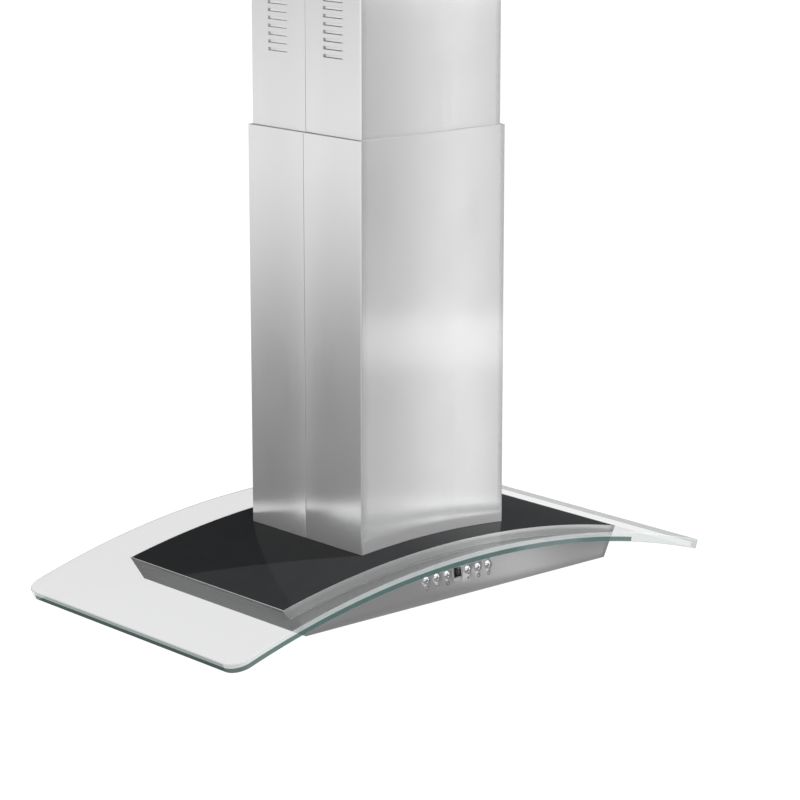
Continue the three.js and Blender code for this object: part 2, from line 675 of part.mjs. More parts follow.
function junctionBox() {
  const { from, to, halfY, low, high } = JUNCTION_BOX;
  const shell = block(from, to, -halfY, halfY, low, high);
  const hole = bar('z', GLAND.neck + GAP, high - GLAND.insert - 2 * GAP, high + PAST, GLAND.sides);
  return shell.subtract(hole.translate([(from + to) / 2, 0, 0]));
}

function cableGland() {
  const { radius, neck, bore, insert, nut, taper, height, sides } = GLAND;
  const profile = [
    [bore, -insert], [neck, -insert], [neck, GAP], [radius, GAP], [radius, nut],
    [radius - taper, height], [bore, height], [bore, -insert],
  ];
  return turned(profile, sides);
}

// ---- assembly --------------------------------------------------------------------------

const hood = new THREE.Group();

function place(name, body, material, [x, y, z] = [0, 0, 0], parent = hood) {
  const mesh = new THREE.Mesh(surface(body), material);
  mesh.name = name;
  mesh.position.set(x, y, z);
  parent.add(mesh);
}

place('ceiling_plate', ceilingPlate(), GALVANISED);
corners(1, 1).forEach(([sx, sy], i) => {
  const corner = CORNER_NAMES[i];
  place(`upper_leg_${corner}`, upperLeg(sx * UPPER_LEG.halfX, sy * UPPER_LEG.halfY), GALVANISED);
  place(`lower_leg_${corner}`, lowerLeg(sx * LOWER_LEG.halfX, sy * LOWER_LEG.halfY), GALVANISED);
  place(`clamp_bolt_${corner}`, clampBolt(sy), CHROME, [sx * CLAMP.x, 0, CLAMP.z]);
});

[['front', -1], ['rear', 1]].forEach(([end, side]) => {
  place(`upper_chimney_${end}`, upperChimney(side), STAINLESS);
  place(`lower_chimney_${end}`, lowerChimney(side), STAINLESS);
});
place('frame_base', frameBase(), GALVANISED);

const long = longWalls();
const ends = endWalls();
place('front_panel', long.front.subtract(controlHoles()), STAINLESS);
place('rear_panel', long.rear, STAINLESS);
place('left_end_panel', ends.left, STAINLESS);
place('right_end_panel', ends.right, STAINLESS);
place('bottom_panel', bottomPanel(), STAINLESS);
place('top_cover', topCover(), BLACK_ENAMEL);
place('glass_canopy', glassCanopy(), CLEAR_GLASS);
place('glass_seal', glassSeal(), BLACK_RUBBER);
place('glass_ledge', glassLedge(), STAINLESS);

const fanCentre = [0, SCROLL.y, SCROLL.z];
place('motor_box', motorBox(), GALVANISED);
place('scroll_wall', scrollWall(), GALVANISED);
place('scroll_side_left', scrollSide(-1), GALVANISED);
place('scroll_side_right', scrollSide(1), GALVANISED);
place('motor', motor(), GREY_PLASTIC, fanCentre);
place('motor_shaft', motorShaft(), CHROME, fanCentre);
place('impeller', impeller(), BLACK_PLASTIC, fanCentre);

const pinPlace = [0, 0, DAMPER.pinZ];
const { middle, end } = KNUCKLE;
place('duct_collar', ductCollar(), GALVANISED);
place('damper_spindle', damperSpindle(), CHROME, pinPlace);
place('damper_flap_right', damperFlap([[-middle, middle]]), BLACK_PLASTIC, pinPlace);
const leftFlap = damperFlap([[-end, -middle - GAP], [middle + GAP, end]]).rotate([0, 0, 180]);
place('damper_flap_left', leftFlap, BLACK_PLASTIC, pinPlace);

const controls = controlGroup();
hood.add(controls);
BUTTON_SLOTS.forEach((slot, i) => {
  place(`button_${i + 1}`, button(), CHROME, [slot * CONTROLS.pitch, 0, 0], controls);
});
place('display_window', displayWindow(), DISPLAY_BLACK, [0, 0, 0], controls);
place('control_board', controlBoard(), BOARD_GREEN, [0, 0, 0], controls);

[['left', -1], ['right', 1]].forEach(([name, side]) => {
  place(`baffle_filter_${name}`, baffleFilter(), STAINLESS, [side * FILTER.x, 0, BASE_Z]);
  place(`filter_latch_${name}`, filterLatch(), CHROME, [side * FILTER.x, 0, BASE_Z]);
});

lampPlaces().forEach(([x, y], i) => {
  place(`lamp_housing_${CORNER_NAMES[i]}`, lampHousing(), CHROME, [x, y, BASE_Z]);
  place(`lamp_lens_${CORNER_NAMES[i]}`, lampLens(), FROSTED, [x, y, BASE_Z]);
});

const glandX = (JUNCTION_BOX.from + JUNCTION_BOX.to) / 2;
place('junction_box', junctionBox(), GREY_PLASTIC);
place('cable_gland', cableGland(), BLACK_PLASTIC, [glandX, 0, JUNCTION_BOX.high]);

export default hood;
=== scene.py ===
"""Looks of the island range hood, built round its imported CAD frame.

Lengths are millimetres until a mesh is made. +Z is up and the ceiling face is at z = 0.
"""

import json
import math

import bmesh
import bpy
from mathutils import Matrix, Vector

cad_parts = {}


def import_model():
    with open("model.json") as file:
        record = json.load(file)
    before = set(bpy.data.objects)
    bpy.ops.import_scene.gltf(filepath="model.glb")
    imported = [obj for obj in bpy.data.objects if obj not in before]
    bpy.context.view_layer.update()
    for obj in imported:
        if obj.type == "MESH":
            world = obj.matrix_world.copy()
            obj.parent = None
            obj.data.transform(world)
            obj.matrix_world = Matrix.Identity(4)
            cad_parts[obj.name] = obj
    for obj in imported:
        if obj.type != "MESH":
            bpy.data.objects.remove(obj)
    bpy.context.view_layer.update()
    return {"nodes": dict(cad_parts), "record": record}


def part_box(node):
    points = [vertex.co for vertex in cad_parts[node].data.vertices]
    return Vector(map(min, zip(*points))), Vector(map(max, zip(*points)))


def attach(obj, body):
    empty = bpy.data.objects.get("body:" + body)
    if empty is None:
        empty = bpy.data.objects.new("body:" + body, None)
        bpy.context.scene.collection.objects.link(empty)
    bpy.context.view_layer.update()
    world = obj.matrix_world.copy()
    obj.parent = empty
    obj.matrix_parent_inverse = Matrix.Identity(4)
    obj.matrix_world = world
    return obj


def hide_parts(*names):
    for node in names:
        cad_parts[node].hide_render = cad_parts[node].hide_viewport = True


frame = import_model()

MM = 0.001
CORNERS = {"front_left": (-1, -1), "front_right": (1, -1), "rear_right": (1, 1), "rear_left": (-1, 1)}


def box_mm(node):
    """Low and high corner of a CAD node in millimetres."""
    low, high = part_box(node)
    return low / MM, high / MM


# ---- dimensions read from the frame -----------------------------------------------------

BODY_LOW = box_mm("front_panel")[0]
REAR_HIGH = box_mm("rear_panel")[1]
COVER_LOW, COVER_HIGH = box_mm("top_cover")
GLASS_LOW, GLASS_HIGH = box_mm("glass_canopy")
BASE = BODY_LOW.z

ARCH_RADIUS = 1414.0
GLASS_THICKNESS = 14.0
COVER_LEVEL = 13.0
ARCH_CENTRE = GLASS_HIGH.z - GLASS_THICKNESS - ARCH_RADIUS
SHEET = 1.2

HEAD_X = COVER_HIGH.x
HEAD_FRONT = COVER_LOW.y
HEAD_REAR = COVER_HIGH.y
FOOT_X = 291.0
FOOT_FRONT = BODY_LOW.y
FOOT_REAR = REAR_HIGH.y


def arch_z(x, level):
    """Height of the arch over x, at a level above the underside of the glass."""
    return ARCH_CENTRE + math.sqrt((ARCH_RADIUS + level) ** 2 - x * x)


def arch_point(s, y, level):
    """Point at the distance s along the arch from its crown."""
    angle = s / ARCH_RADIUS
    radius = ARCH_RADIUS + level
    return (radius * math.sin(angle), y, ARCH_CENTRE + radius * math.cos(angle))


def spread(low, high, count):
    """Evenly spaced values from low to high, both included."""
    return [low + (high - low) * i / count for i in range(count + 1)]


def mixed(a, b, t):
    return a + (b - a) * t


# ---- meshes -----------------------------------------------------------------------------


def tidy_mesh(mesh, sharp_degrees):
    """Welds, orients and shades a mesh."""
    bm = bmesh.new()
    bm.from_mesh(mesh)
    bmesh.ops.remove_doubles(bm, verts=bm.verts, dist=1e-6)
    bmesh.ops.recalc_face_normals(bm, faces=bm.faces)
    bm.to_mesh(mesh)
    bm.free()
    mesh.shade_smooth()
    mesh.set_sharp_from_angle(angle=math.radians(sharp_degrees))


def mesh_object(name, verts, faces, materials, indices=None):
    """An object in the row frame from points in millimetres."""
    mesh = bpy.data.meshes.new(name)
    mesh.from_pydata([tuple(c * MM for c in v) for v in verts], [], faces)
    for material in materials:
        mesh.materials.append(material)
    if indices:
        mesh.polygons.foreach_set("material_index", indices)
    obj = bpy.data.objects.new(name, mesh)
    bpy.context.scene.collection.objects.link(obj)
    return obj


def apply_modifiers(obj):
    """Replaces the object's mesh by what its modifiers make of it."""
    bpy.context.view_layer.update()
    result = obj.evaluated_get(bpy.context.evaluated_depsgraph_get())
    obj.data = bpy.data.meshes.new_from_object(result)
    obj.modifiers.clear()


def place(obj, body, slot, *nodes, sharp=35):
    """Shades a finished piece, sets what it rides on and hides the CAD nodes it stands for; slot is not
    used.
    """
    tidy_mesh(obj.data, sharp)
    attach(obj, body)
    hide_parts(*nodes)
    return obj


def solidify(obj, thickness):
    """Gives a single surface its sheet thickness, on the side away from its normals."""
    tidy = bmesh.new()
    tidy.from_mesh(obj.data)
    bmesh.ops.remove_doubles(tidy, verts=tidy.verts, dist=1e-6)
    tidy.to_mesh(obj.data)
    tidy.free()
    modifier = obj.modifiers.new("thickness", "SOLIDIFY")
    modifier.thickness = thickness * MM
    modifier.offset = -1
    modifier.use_even_offset = True
    apply_modifiers(obj)


def grid_faces(columns, rows, skip=lambda i, j: False, flip=False):
    """Quads of a grid whose points run row after row."""
    faces = []
    for j in range(rows - 1):
        for i in range(columns - 1):
            if skip(i, j):
                continue
            a = j * columns + i
            quad = (a, a + 1, a + columns + 1, a + columns)
            faces.append(tuple(reversed(quad)) if flip else quad)
    return faces


def cut(obj, cutters):
    """Subtracts helper objects, then removes them."""
    for cutter in cutters:
        modifier = obj.modifiers.new("cut", "BOOLEAN")
        modifier.operation = "DIFFERENCE"
        modifier.solver = "EXACT"
        modifier.object = cutter
    apply_modifiers(obj)
    for cutter in cutters:
        bpy.data.objects.remove(cutter)


def bevel_edges(obj, width, degrees=50, segments=2):
    """Rounds the edges that turn by more than an angle."""
    bm = bmesh.new()
    bm.from_mesh(obj.data)
    bmesh.ops.remove_doubles(bm, verts=bm.verts, dist=1e-6)
    edges = [
        e for e in bm.edges if len(e.link_faces) == 2 and e.calc_face_angle(0) > math.radians(degrees)
    ]
    bmesh.ops.bevel(
        bm, geom=edges, offset=width * MM, segments=segments,
        profile=0.5, affect="EDGES", clamp_overlap=True,
    )
    bm.to_mesh(obj.data)
    bm.free()


def block_mesh(x0, x1, y0, y1, z0, z1):
    """Points and outward quads of a rectangular block."""
    verts = [(x, y, z) for z in (z0, z1) for y in (y0, y1) for x in (x0, x1)]
    faces = [(0, 2, 3, 1), (4, 5, 7, 6), (0, 1, 5, 4), (2, 6, 7, 3), (0, 4, 6, 2), (1, 3, 7, 5)]
    return verts, faces


def turned_mesh(profile, sides, closed=False):
    """A turned shell about Z from [radius, z] points; a zero radius closes the end."""
    verts = []
    for r, z in profile:
        for k in range(sides):
            a = 2 * math.pi * k / sides
            verts.append((r * math.cos(a), r * math.sin(a), z))
    faces = []
    rings = len(profile)
    for j in range(rings if closed else rings - 1):
        for k in range(sides):
            a, b = j * sides + k, j * sides + (k + 1) % sides
            c, d = ((j + 1) % rings) * sides + (k + 1) % sides, ((j + 1) % rings) * sides + k
            faces.append((a, b, c, d))
    return verts, faces


def merged(parts):
    """Joins several (verts, faces) pairs into one."""
    verts, faces = [], []
    for part_verts, part_faces in parts:
        start = len(verts)
        verts.extend(part_verts)
        faces.extend(tuple(start + i for i in face) for face in part_faces)
    return verts, faces


def moved(part, matrix):
    """A (verts, faces) pair taken through a matrix."""
    verts, faces = part
    return [tuple(matrix @ Vector(v)) for v in verts], faces


# ---- materials --------------------------------------------------------------------------


class Finish:
    """A node material round one Principled shader, with object-space textures in metres."""

    def __init__(self, name, color, roughness, metallic=0.0, **sockets):
        self.material = bpy.data.materials.new(name)
        self.material.use_nodes = True
        self.nodes = self.material.node_tree.nodes
        self.links = self.material.node_tree.links
        self.shader = self.nodes["Principled BSDF"]
        self.color = color
        self.set("Base Color", (*color, 1.0))
        self.set("Roughness", roughness)
        self.set("Metallic", metallic)
        for key, value in sockets.items():
            self.set(key.replace("_", " "), value)
        self.coordinates = self.nodes.new("ShaderNodeTexCoord")
        self.height = None

    def set(self, socket, value):
        self.shader.inputs[socket].default_value = value

    def mapped(self, scale):
        mapping = self.nodes.new("ShaderNodeMapping")
        mapping.inputs["Scale"].default_value = scale
        self.links.new(self.coordinates.outputs["Object"], mapping.inputs["Vector"])
        return mapping.outputs["Vector"]

    def noise(self, scale, detail=4.0, rough=0.55):
        texture = self.nodes.new("ShaderNodeTexNoise")
        texture.inputs["Scale"].default_value = 1.0
        texture.inputs["Detail"].default_value = detail
        texture.inputs["Roughness"].default_value = rough
        self.links.new(self.mapped(scale), texture.inputs["Vector"])
        return texture.outputs["Fac"]

    def cells(self, scale):
        texture = self.nodes.new("ShaderNodeTexVoronoi")
        texture.inputs["Scale"].default_value = 1.0
        self.links.new(self.mapped(scale), texture.inputs["Vector"])
        return texture.outputs["Color"]

    def ranged(self, value, low, high, from_low=0.3, from_high=0.7):
        ranged = self.nodes.new("ShaderNodeMapRange")
        ranged.inputs["From Min"].default_value = from_low
        ranged.inputs["From Max"].default_value = from_high
        ranged.inputs["To Min"].default_value = low
        ranged.inputs["To Max"].default_value = high
        self.links.new(value, ranged.inputs["Value"])
        return ranged.outputs["Result"]

    def math(self, operation, a, b):
        node = self.nodes.new("ShaderNodeMath")
        node.operation = operation
        for socket, value in zip(node.inputs, (a, b)):
            if isinstance(value, float):
                socket.default_value = value
            else:
                self.links.new(value, socket)
        return node.outputs[0]

    def tint(self, factor):
        """Multiplies the colour by a value that varies over the surface."""
        mix = self.nodes.new("ShaderNodeVectorMath")
        mix.operation = "SCALE"
        mix.inputs[0].default_value = self.color
        self.links.new(factor, mix.inputs["Scale"])
        self.links.new(mix.outputs["Vector"], self.shader.inputs["Base Color"])
        return self

    def roughen(self, value):
        self.links.new(value, self.shader.inputs["Roughness"])
        return self

    def bump(self, height, distance, strength=1.0):
        node = self.nodes.new("ShaderNodeBump")
        node.inputs["Distance"].default_value = distance
        node.inputs["Strength"].default_value = strength
        self.links.new(height, node.inputs["Height"])
        self.links.new(node.outputs["Normal"], self.shader.inputs["Normal"])
        return self


def brushed(name, color, roughness, along, across, grain=0.006, metallic=0.75, **sockets):
    """Brushed stainless steel: fine grain along an axis and faint smudges; across turns its highlights."""
    fine = [4200.0, 4200.0, 4200.0]
    coarse = [620.0, 620.0, 620.0]
    fine["xyz".index(along)] = 14.0
    coarse["xyz".index(along)] = 2.5
    finish = Finish(name, color, roughness, metallic, Anisotropic_Rotation=across, **sockets)
    lines = finish.noise(fine, 3.0, 0.6)
    streaks = finish.noise(coarse, 5.0, 0.6)
    smudges = finish.noise((9.0, 9.0, 7.0), 4.0)
    weighted = finish.math("MULTIPLY", lines, 0.6), finish.math("MULTIPLY", streaks, 0.4)
    both = finish.math("ADD", *weighted)
    finish.tint(finish.ranged(both, 0.99, 1.01))
    spread_roughness = finish.ranged(both, roughness - grain, roughness + grain)
    smudged = finish.ranged(smudges, -0.7 * grain, 0.7 * grain)
    finish.roughen(finish.math("ADD", spread_roughness, smudged))
    tangent = finish.nodes.new("ShaderNodeTangent")
    tangent.direction_type = "RADIAL"
    tangent.axis = "Z"
    finish.links.new(tangent.outputs["Tangent"], finish.shader.inputs["Tangent"])
    return finish.bump(both, 0.00001, 8 * grain)


def plastic(name, color, roughness, grain=900.0, depth=0.00003, **sockets):
    """Moulded plastic with a fine spark-eroded texture."""
    finish = Finish(name, color, roughness, **sockets)
    spots = finish.noise((grain,) * 3, 3.0)
    patches = finish.noise((30.0,) * 3, 3.0)
    finish.tint(finish.ranged(patches, 0.9, 1.1))
    finish.roughen(finish.ranged(spots, roughness - 0.06, roughness + 0.08))
    return finish.bump(spots, depth, 0.5)


def galvanised(name, color, roughness):
    """Zinc-coated sheet with its spangle."""
    finish = Finish(name, color, roughness, 1.0)
    spangle = finish.cells((160.0,) * 3)
    separate = finish.nodes.new("ShaderNodeSeparateColor")
    finish.links.new(spangle, separate.inputs["Color"])
    flake = separate.outputs["Red"]
    dust = finish.noise((14.0,) * 3, 5.0)
    shine = finish.ranged(flake, 0.82, 1.08, 0.0, 1.0)
    finish.tint(finish.math("MULTIPLY", shine, finish.ranged(dust, 0.9, 1.04)))
    finish.roughen(finish.ranged(flake, roughness - 0.08, roughness + 0.12, 0.0, 1.0))
    return finish.bump(finish.noise((420.0,) * 3, 3.0), 0.00004, 0.4)


def polished(name, color, roughness, metallic=1.0, **sockets):
    """Bright plated or polished surface with hairline wear."""
    finish = Finish(name, color, roughness, metallic, **sockets)
    hairlines = finish.noise((3000.0, 700.0, 1500.0), 4.0)
    finish.tint(finish.ranged(hairlines, 0.96, 1.03))
    finish.roughen(finish.ranged(hairlines, max(roughness - 0.03, 0.01), roughness + 0.05))
    return finish.bump(hairlines, 0.000006, 0.4)


def enamel(name, color, roughness, **sockets):
    """Gloss enamel with a slight orange peel and settled dust."""
    finish = Finish(name, color, roughness, **sockets)
    peel = finish.noise((260.0,) * 3, 2.0)
    dust = finish.noise((22.0, 22.0, 22.0), 6.0, 0.65)
    finish.tint(finish.ranged(dust, 0.94, 1.07))
    finish.roughen(finish.ranged(dust, roughness - 0.015, roughness + 0.025))
    return finish.bump(peel, 0.000012, 0.5)


def clear(name, color, roughness, alpha, **sockets):
    """See-through glass with faint wipe marks, drawn by its surface only."""
    finish = Finish(name, color, roughness, Alpha=alpha, **sockets)
    wipes = finish.noise((60.0, 9.0, 30.0), 5.0)
    finish.roughen(finish.ranged(wipes, max(roughness - 0.015, 0.0), roughness + 0.02))
    finish.tint(finish.ranged(wipes, 0.95, 1.05))
    return finish.bump(wipes, 0.000004, 0.3)


COVER_STEEL = brushed("cover_steel", (0.76, 0.76, 0.76), 0.19, "z", 0.0, 0.03, Anisotropic=0.85)
FRONT_STEEL = brushed("front_steel", (0.38, 0.378, 0.38), 0.28, "x", 0.25, Anisotropic=0.2)
END_STEEL = brushed("end_steel", (0.38, 0.38, 0.38), 0.36, "y", 0.25, Anisotropic=0.2)
# A lighter copy of the body steel, a painted highlight on the band of wall held by the glass.
PAINTED_LIGHT_STEEL = brushed("painted_light_steel", (0.6, 0.598, 0.6), 0.28, "x", 0.25, Anisotropic=0.2)
BLACK_ENAMEL = enamel("black_enamel", (0.0148, 0.0152, 0.016), 0.07, IOR=1.045)
GLASS = clear("clear_glass", (0.05, 0.056, 0.055), 0.02, 0.165)
SEALANT = clear("clear_sealant", (0.3, 0.3, 0.3), 0.3, 0.25)
# Edge strips of one tinted glass in lit and shaded copies: the lighter upper band is a painted highlight,
# the pale and near-clear strips toward the right a painted reflection, the darker left-end strips painted
# shade, and the dark lower band the glass's green seen through its depth, darkened as painted shade.
EDGE_HIGHLIGHT = clear("glass_edge_painted_highlight", (0.33, 0.36, 0.355), 0.12, 0.6)
EDGE_END = clear("glass_edge_end", (0.2, 0.25, 0.245), 0.12, 0.82)
EDGE_CLEAR = clear("glass_edge_clear", (0.05, 0.056, 0.055), 0.02, 0.03)
EDGE_LOW = clear("glass_edge_dark", (0.045, 0.082, 0.077), 0.08, 0.92)
EDGE_REFLECTION = clear("glass_edge_painted_reflection", (0.3, 0.33, 0.325), 0.1, 0.5)
EDGE_ARRIS = clear("glass_arris", (0.24, 0.28, 0.275), 0.25, 0.5)
EDGE_LINE = clear("glass_rim_line", (0.16, 0.17, 0.17), 0.2, 0.75)
EDGE_DEEP_SHADED = clear("glass_edge_deep_shaded", (0.022, 0.05, 0.046), 0.08, 0.95)
GALVANISED = galvanised("galvanised_steel", (0.56, 0.575, 0.59), 0.42)
BRIGHT_ZINC = polished("bright_zinc", (0.68, 0.69, 0.71), 0.25)
MOTOR_PAINT = plastic("motor_paint", (0.2, 0.205, 0.21), 0.45, 500.0, 0.00006)
SHAFT_STEEL = polished("ground_steel", (0.62, 0.62, 0.63), 0.18)
BLACK_PLASTIC = plastic("black_plastic", (0.022, 0.022, 0.024), 0.45)
BUTTON_CHROME = polished("button_chrome", (0.8, 0.81, 0.82), 0.14)
WINDOW = polished("smoked_window", (0.006, 0.006, 0.007), 0.06, 0.0)
SEGMENT = plastic("unlit_segment", (0.035, 0.03, 0.03), 0.3)
BEZEL = polished("window_bezel", (0.55, 0.56, 0.57), 0.25)
INK = plastic("printed_symbol", (0.07, 0.07, 0.075), 0.5)
CIRCUIT = plastic("solder_mask", (0.018, 0.1, 0.045), 0.35, 600.0)
FILTER_STEEL = brushed("filter_steel", (0.6, 0.605, 0.61), 0.28, "y", 0.25, Anisotropic=0.4)
LATCH_STEEL = polished("latch_steel", (0.7, 0.71, 0.72), 0.2)
LAMP_CHROME = polished("lamp_chrome", (0.76, 0.77, 0.78), 0.13)
FROSTED = plastic("frosted_lens", (0.85, 0.84, 0.8), 0.35, 1400.0, 0.00004)
GREY_PLASTIC = plastic("grey_plastic", (0.13, 0.135, 0.14), 0.5)

SLOT_FINISHES = {
    "galvanised": GALVANISED,
    "zinc_bolt": BRIGHT_ZINC,
    "stainless_cover": COVER_STEEL,
    "stainless_body": END_STEEL,
    "black_cover": BLACK_ENAMEL,
    "clear_glass": GLASS,
    "glass_seal": SEALANT,
    "motor_casing": MOTOR_PAINT,
    "steel_shaft": SHAFT_STEEL,
    "black_plastic": BLACK_PLASTIC,
    "button_metal": BUTTON_CHROME,
    "display_window": WINDOW,
    "circuit_board": CIRCUIT,
    "filter_steel": FILTER_STEEL,
    "latch_metal": LATCH_STEEL,
    "lamp_trim": LAMP_CHROME,
    "lamp_lens": FROSTED,
    "grey_plastic": GREY_PLASTIC,
}


def finish_frame_nodes():
    """Gives each CAD node the finish of its material slot."""
    for subpart in frame["record"]["subparts"]:
        mesh = frame["nodes"][subpart["node"]].data
        mesh.materials.clear()
        mesh.materials.append(SLOT_FINISHES[subpart["material_slot"]].material)


# ---- chimney covers ---------------------------------------------------------------------

BEND = 2.2
COVER_SHEET = 1.0
LIP_STEP = 1.3
LIP_LENGTH = 10.0
SEAM = 0.4
SEAM_ROLL = 0.7
LOUVRE_COUNT = 12
LOUVRE_PITCH = 11.0
LOUVRE_HALF = 20.5
LOUVRE_HEIGHT = 4.6
LOUVRE_COLUMN = 60.0
LOUVRE_FIRST = BASE + 770.5
LOUVRE_LOW_GAP = 1.0
LOUVRE_HIGH_GAP = 0.25
LOUVRE_OVERLAP = 0.3
STRIP_SHEET = 0.8
STRIP_INSET = 0.05
# (distance from the sunk end, depth, notch) along a louvre's strip
STRIP_RAMPS = [
    (-0.3, 0.0, 1.3), (1.4, 0.9, 1.0), (2.8, 0.5, 0.2),
    (4.0, 0.15, 0.0), (20.0, 0.15, 0.0), (37.0, 0.1, 0.0),
]
FOOT_GAP = 0.4


def cover_path(half_x, half_y, side, marks):
    """Plan of one cover half from its left seam round to its right one, for the half at -Y or +Y."""
    rolled = [
        (-half_x + SEAM_ROLL * (1 - math.cos(a)), -SEAM - SEAM_ROLL * (1 - math.sin(a)))
        for a in spread(math.pi / 2, 0, 3)
    ]
    left = rolled + [(-half_x, -m) for m in marks]
    if side < 0:
        left = [(-half_x + LIP_STEP, LIP_LENGTH), (-half_x + LIP_STEP, -SEAM)] + left
    corner = [
        (-half_x + BEND - BEND * math.cos(a), -half_y + BEND - BEND * math.sin(a))
        for a in spread(0, math.pi / 2, 6)
    ]
    across = [(x, -half_y) for x in spread(-half_x + BEND, half_x - BEND, 28)[1:-1]]
    half = left + corner
    right = [(-x, y) for x, y in reversed(half)]
    path = half + across + right
    return path if side < 0 else [(-x, -y) for x, y in path]


def in_louvre(z_low, z_high):
    middle = (z_low + z_high) / 2
    for i in range(LOUVRE_COUNT):
        if abs(middle - LOUVRE_FIRST - i * LOUVRE_PITCH) < LOUVRE_HEIGHT / 2:
            return True
    return False


def cover_half(name, node, side, body, marks, foot, heights):
    """A folded cover half; foot gives the height of its lowest edge over x."""
    low, high = box_mm(node)
    half_y = -low.y if side < 0 else high.y
    path = cover_path(high.x, half_y, side, marks)
    verts = []
    for k, z in enumerate(heights):
        for x, y in path:
            verts.append((x, y, foot(x) if k == 0 else z))
    louvred = len(marks) > 2

    def skip(i, j):
        if not louvred:
            return False
        middle_y = abs(path[i][1] + path[i + 1][1]) / 2
        on_side = abs(path[i][0]) > high.x - 0.01 and abs(path[i + 1][0]) > high.x - 0.01
        inside = on_side and abs(middle_y - LOUVRE_COLUMN) < LOUVRE_HALF
        return inside and in_louvre(heights[j], heights[j + 1])

    obj = mesh_object(name, verts, grid_faces(len(path), len(heights), skip), [COVER_STEEL.material])
    solidify(obj, COVER_SHEET)
    if louvred:
        add_bridges(obj, high.x, side)
    return place(obj, body, "stainless_cover", node, sharp=30)


def bridge_mesh(half_x, side, face, z):
    """The strip in one louvre: sunk at one end, joined to the sheet at both, with a gap under it."""
    start, stop = LOUVRE_COLUMN - LOUVRE_HALF, LOUVRE_COLUMN + LOUVRE_HALF
    if side < 0:
        start, stop = -stop, -start
    verts = []
    for from_end, depth, notch in STRIP_RAMPS:
        reach = stop - start - from_end
        y = start + reach if face < 0 else stop - reach
        verts.extend(strip_section(face, half_x, y, z, depth, notch))
    for reach in (2 * LOUVRE_OVERLAP, 0.0):
        y = start + reach - LOUVRE_OVERLAP if face < 0 else stop - reach + LOUVRE_OVERLAP
        verts.extend(strip_section(face, half_x, y, z, 0.0, 0.0))
    count = len(verts) // 4
    faces = []
    for s in range(count - 1):
        for k in range(4):
            a, b = 4 * s + k, 4 * s + (k + 1) % 4
            faces.append((a, b, b + 4, a + 4))
    last = 4 * (count - 1)
    faces += [(3, 2, 1, 0), (last, last + 1, last + 2, last + 3)]
    return verts, faces


def strip_section(face, half_x, y, z, depth, notch):
    """Four points of a louvre strip: its lower edge goes in further than its upper one."""
    low_edge = z - LOUVRE_HEIGHT / 2 + LOUVRE_LOW_GAP
    high_edge = z + LOUVRE_HEIGHT / 2 - LOUVRE_HIGH_GAP - 0.6 * notch
    upper = half_x - COVER_SHEET - STRIP_INSET - 0.25 * depth
    lower = half_x - COVER_SHEET - STRIP_INSET - 1.1 * depth
    return [
        (face * lower, y, low_edge), (face * upper, y, high_edge),
        (face * (upper - STRIP_SHEET), y, high_edge), (face * (lower - STRIP_SHEET), y, low_edge),
    ]


def add_bridges(obj, half_x, side):
    """Joins the louvre strips into a cover's mesh."""
    parts = [
        bridge_mesh(half_x, side, face, LOUVRE_FIRST + i * LOUVRE_PITCH)
        for face in (-1, 1)
        for i in range(LOUVRE_COUNT)
    ]
    verts, faces = merged(parts)
    bm = bmesh.new()
    bm.from_mesh(obj.data)
    new = [bm.verts.new([c * MM for c in v]) for v in verts]
    for face in faces:
        bm.faces.new([new[i] for i in face])
    bm.to_mesh(obj.data)
    bm.free()


def chimney():
    lower_high = box_mm("lower_chimney_rear")[1]
    foot_level = COVER_LEVEL + FOOT_GAP
    lower_heights = [BASE] + spread(BASE + 140, lower_high.z, 8)
    upper_low, upper_high = box_mm("upper_chimney_rear")
    slot_edges = [
        LOUVRE_FIRST + i * LOUVRE_PITCH + k * LOUVRE_HEIGHT / 2
        for i in range(LOUVRE_COUNT)
        for k in (-1, 1)
    ]
    upper_heights = spread(upper_low.z, LOUVRE_FIRST - 12, 5) + slot_edges + [upper_high.z]
    marks = [LOUVRE_COLUMN - LOUVRE_HALF, LOUVRE_COLUMN, LOUVRE_COLUMN + LOUVRE_HALF]
    for end, side in (("front", -1), ("rear", 1)):
        cover_half(
            f"lower_cover_{end}", f"lower_chimney_{end}", side, "canopy", [LOUVRE_COLUMN],
            lambda x: arch_z(x, foot_level), lower_heights,
        )
        cover_half(
            f"upper_cover_{end}", f"upper_chimney_{end}", side, "ceiling_mount", marks,
            lambda x: upper_low.z, upper_heights,
        )


# ---- steel body -------------------------------------------------------------------------

WALL_STATIONS = 56
WALL_EDGE = 0.25
OPENING_X = 92.0
OPENING_Y = 82.0


def head_z(x):
    return arch_z(x, COVER_LEVEL)


def wall_steps(x):
    """Shares of the way up a wall over x, with one at the underside of the glass."""
    glass_share = (arch_z(x, 0) - BASE) / (head_z(x) - BASE)
    return spread(0, glass_share, 4) + spread(glass_share, 1, 2)[1:]


def long_wall(name, node, foot_y, head_y, side, finish):
    """The front or rear wall: flat, leaning, its head following the arch."""
    us = spread(-1, 1, WALL_STATIONS)
    columns = [wall_steps(u * HEAD_X) for u in us]
    rows = len(columns[0])
    verts = []
    for j in range(rows):
        for u, column in zip(us, columns):
            t = column[j]
            x = mixed(u * FOOT_X, u * HEAD_X, t)
            verts.append((x, mixed(foot_y, head_y, t), mixed(BASE, head_z(u * HEAD_X), t)))
    faces = grid_faces(len(us), rows, flip=side > 0)
    obj = mesh_object(name, verts, faces, [finish.material, PAINTED_LIGHT_STEEL.material])
    solidify(obj, SHEET)
    if side < 0:
        cut(obj, control_cutters())
    bevel_edges(obj, WALL_EDGE, 60)
    paint_wall_highlight(obj)
    return place(obj, "canopy", "stainless_body", node, sharp=30)


def paint_wall_highlight(obj):
    """Lightens the band of a wall held by the glass with a lighter copy of its steel: a painted highlight
    for light that the glass's dark edge strips keep from it.
    """
    for polygon in obj.data.polygons:
        x, _, z = polygon.center / MM
        if z > arch_z(x, 0) + 0.3:
            polygon.material_index = 1


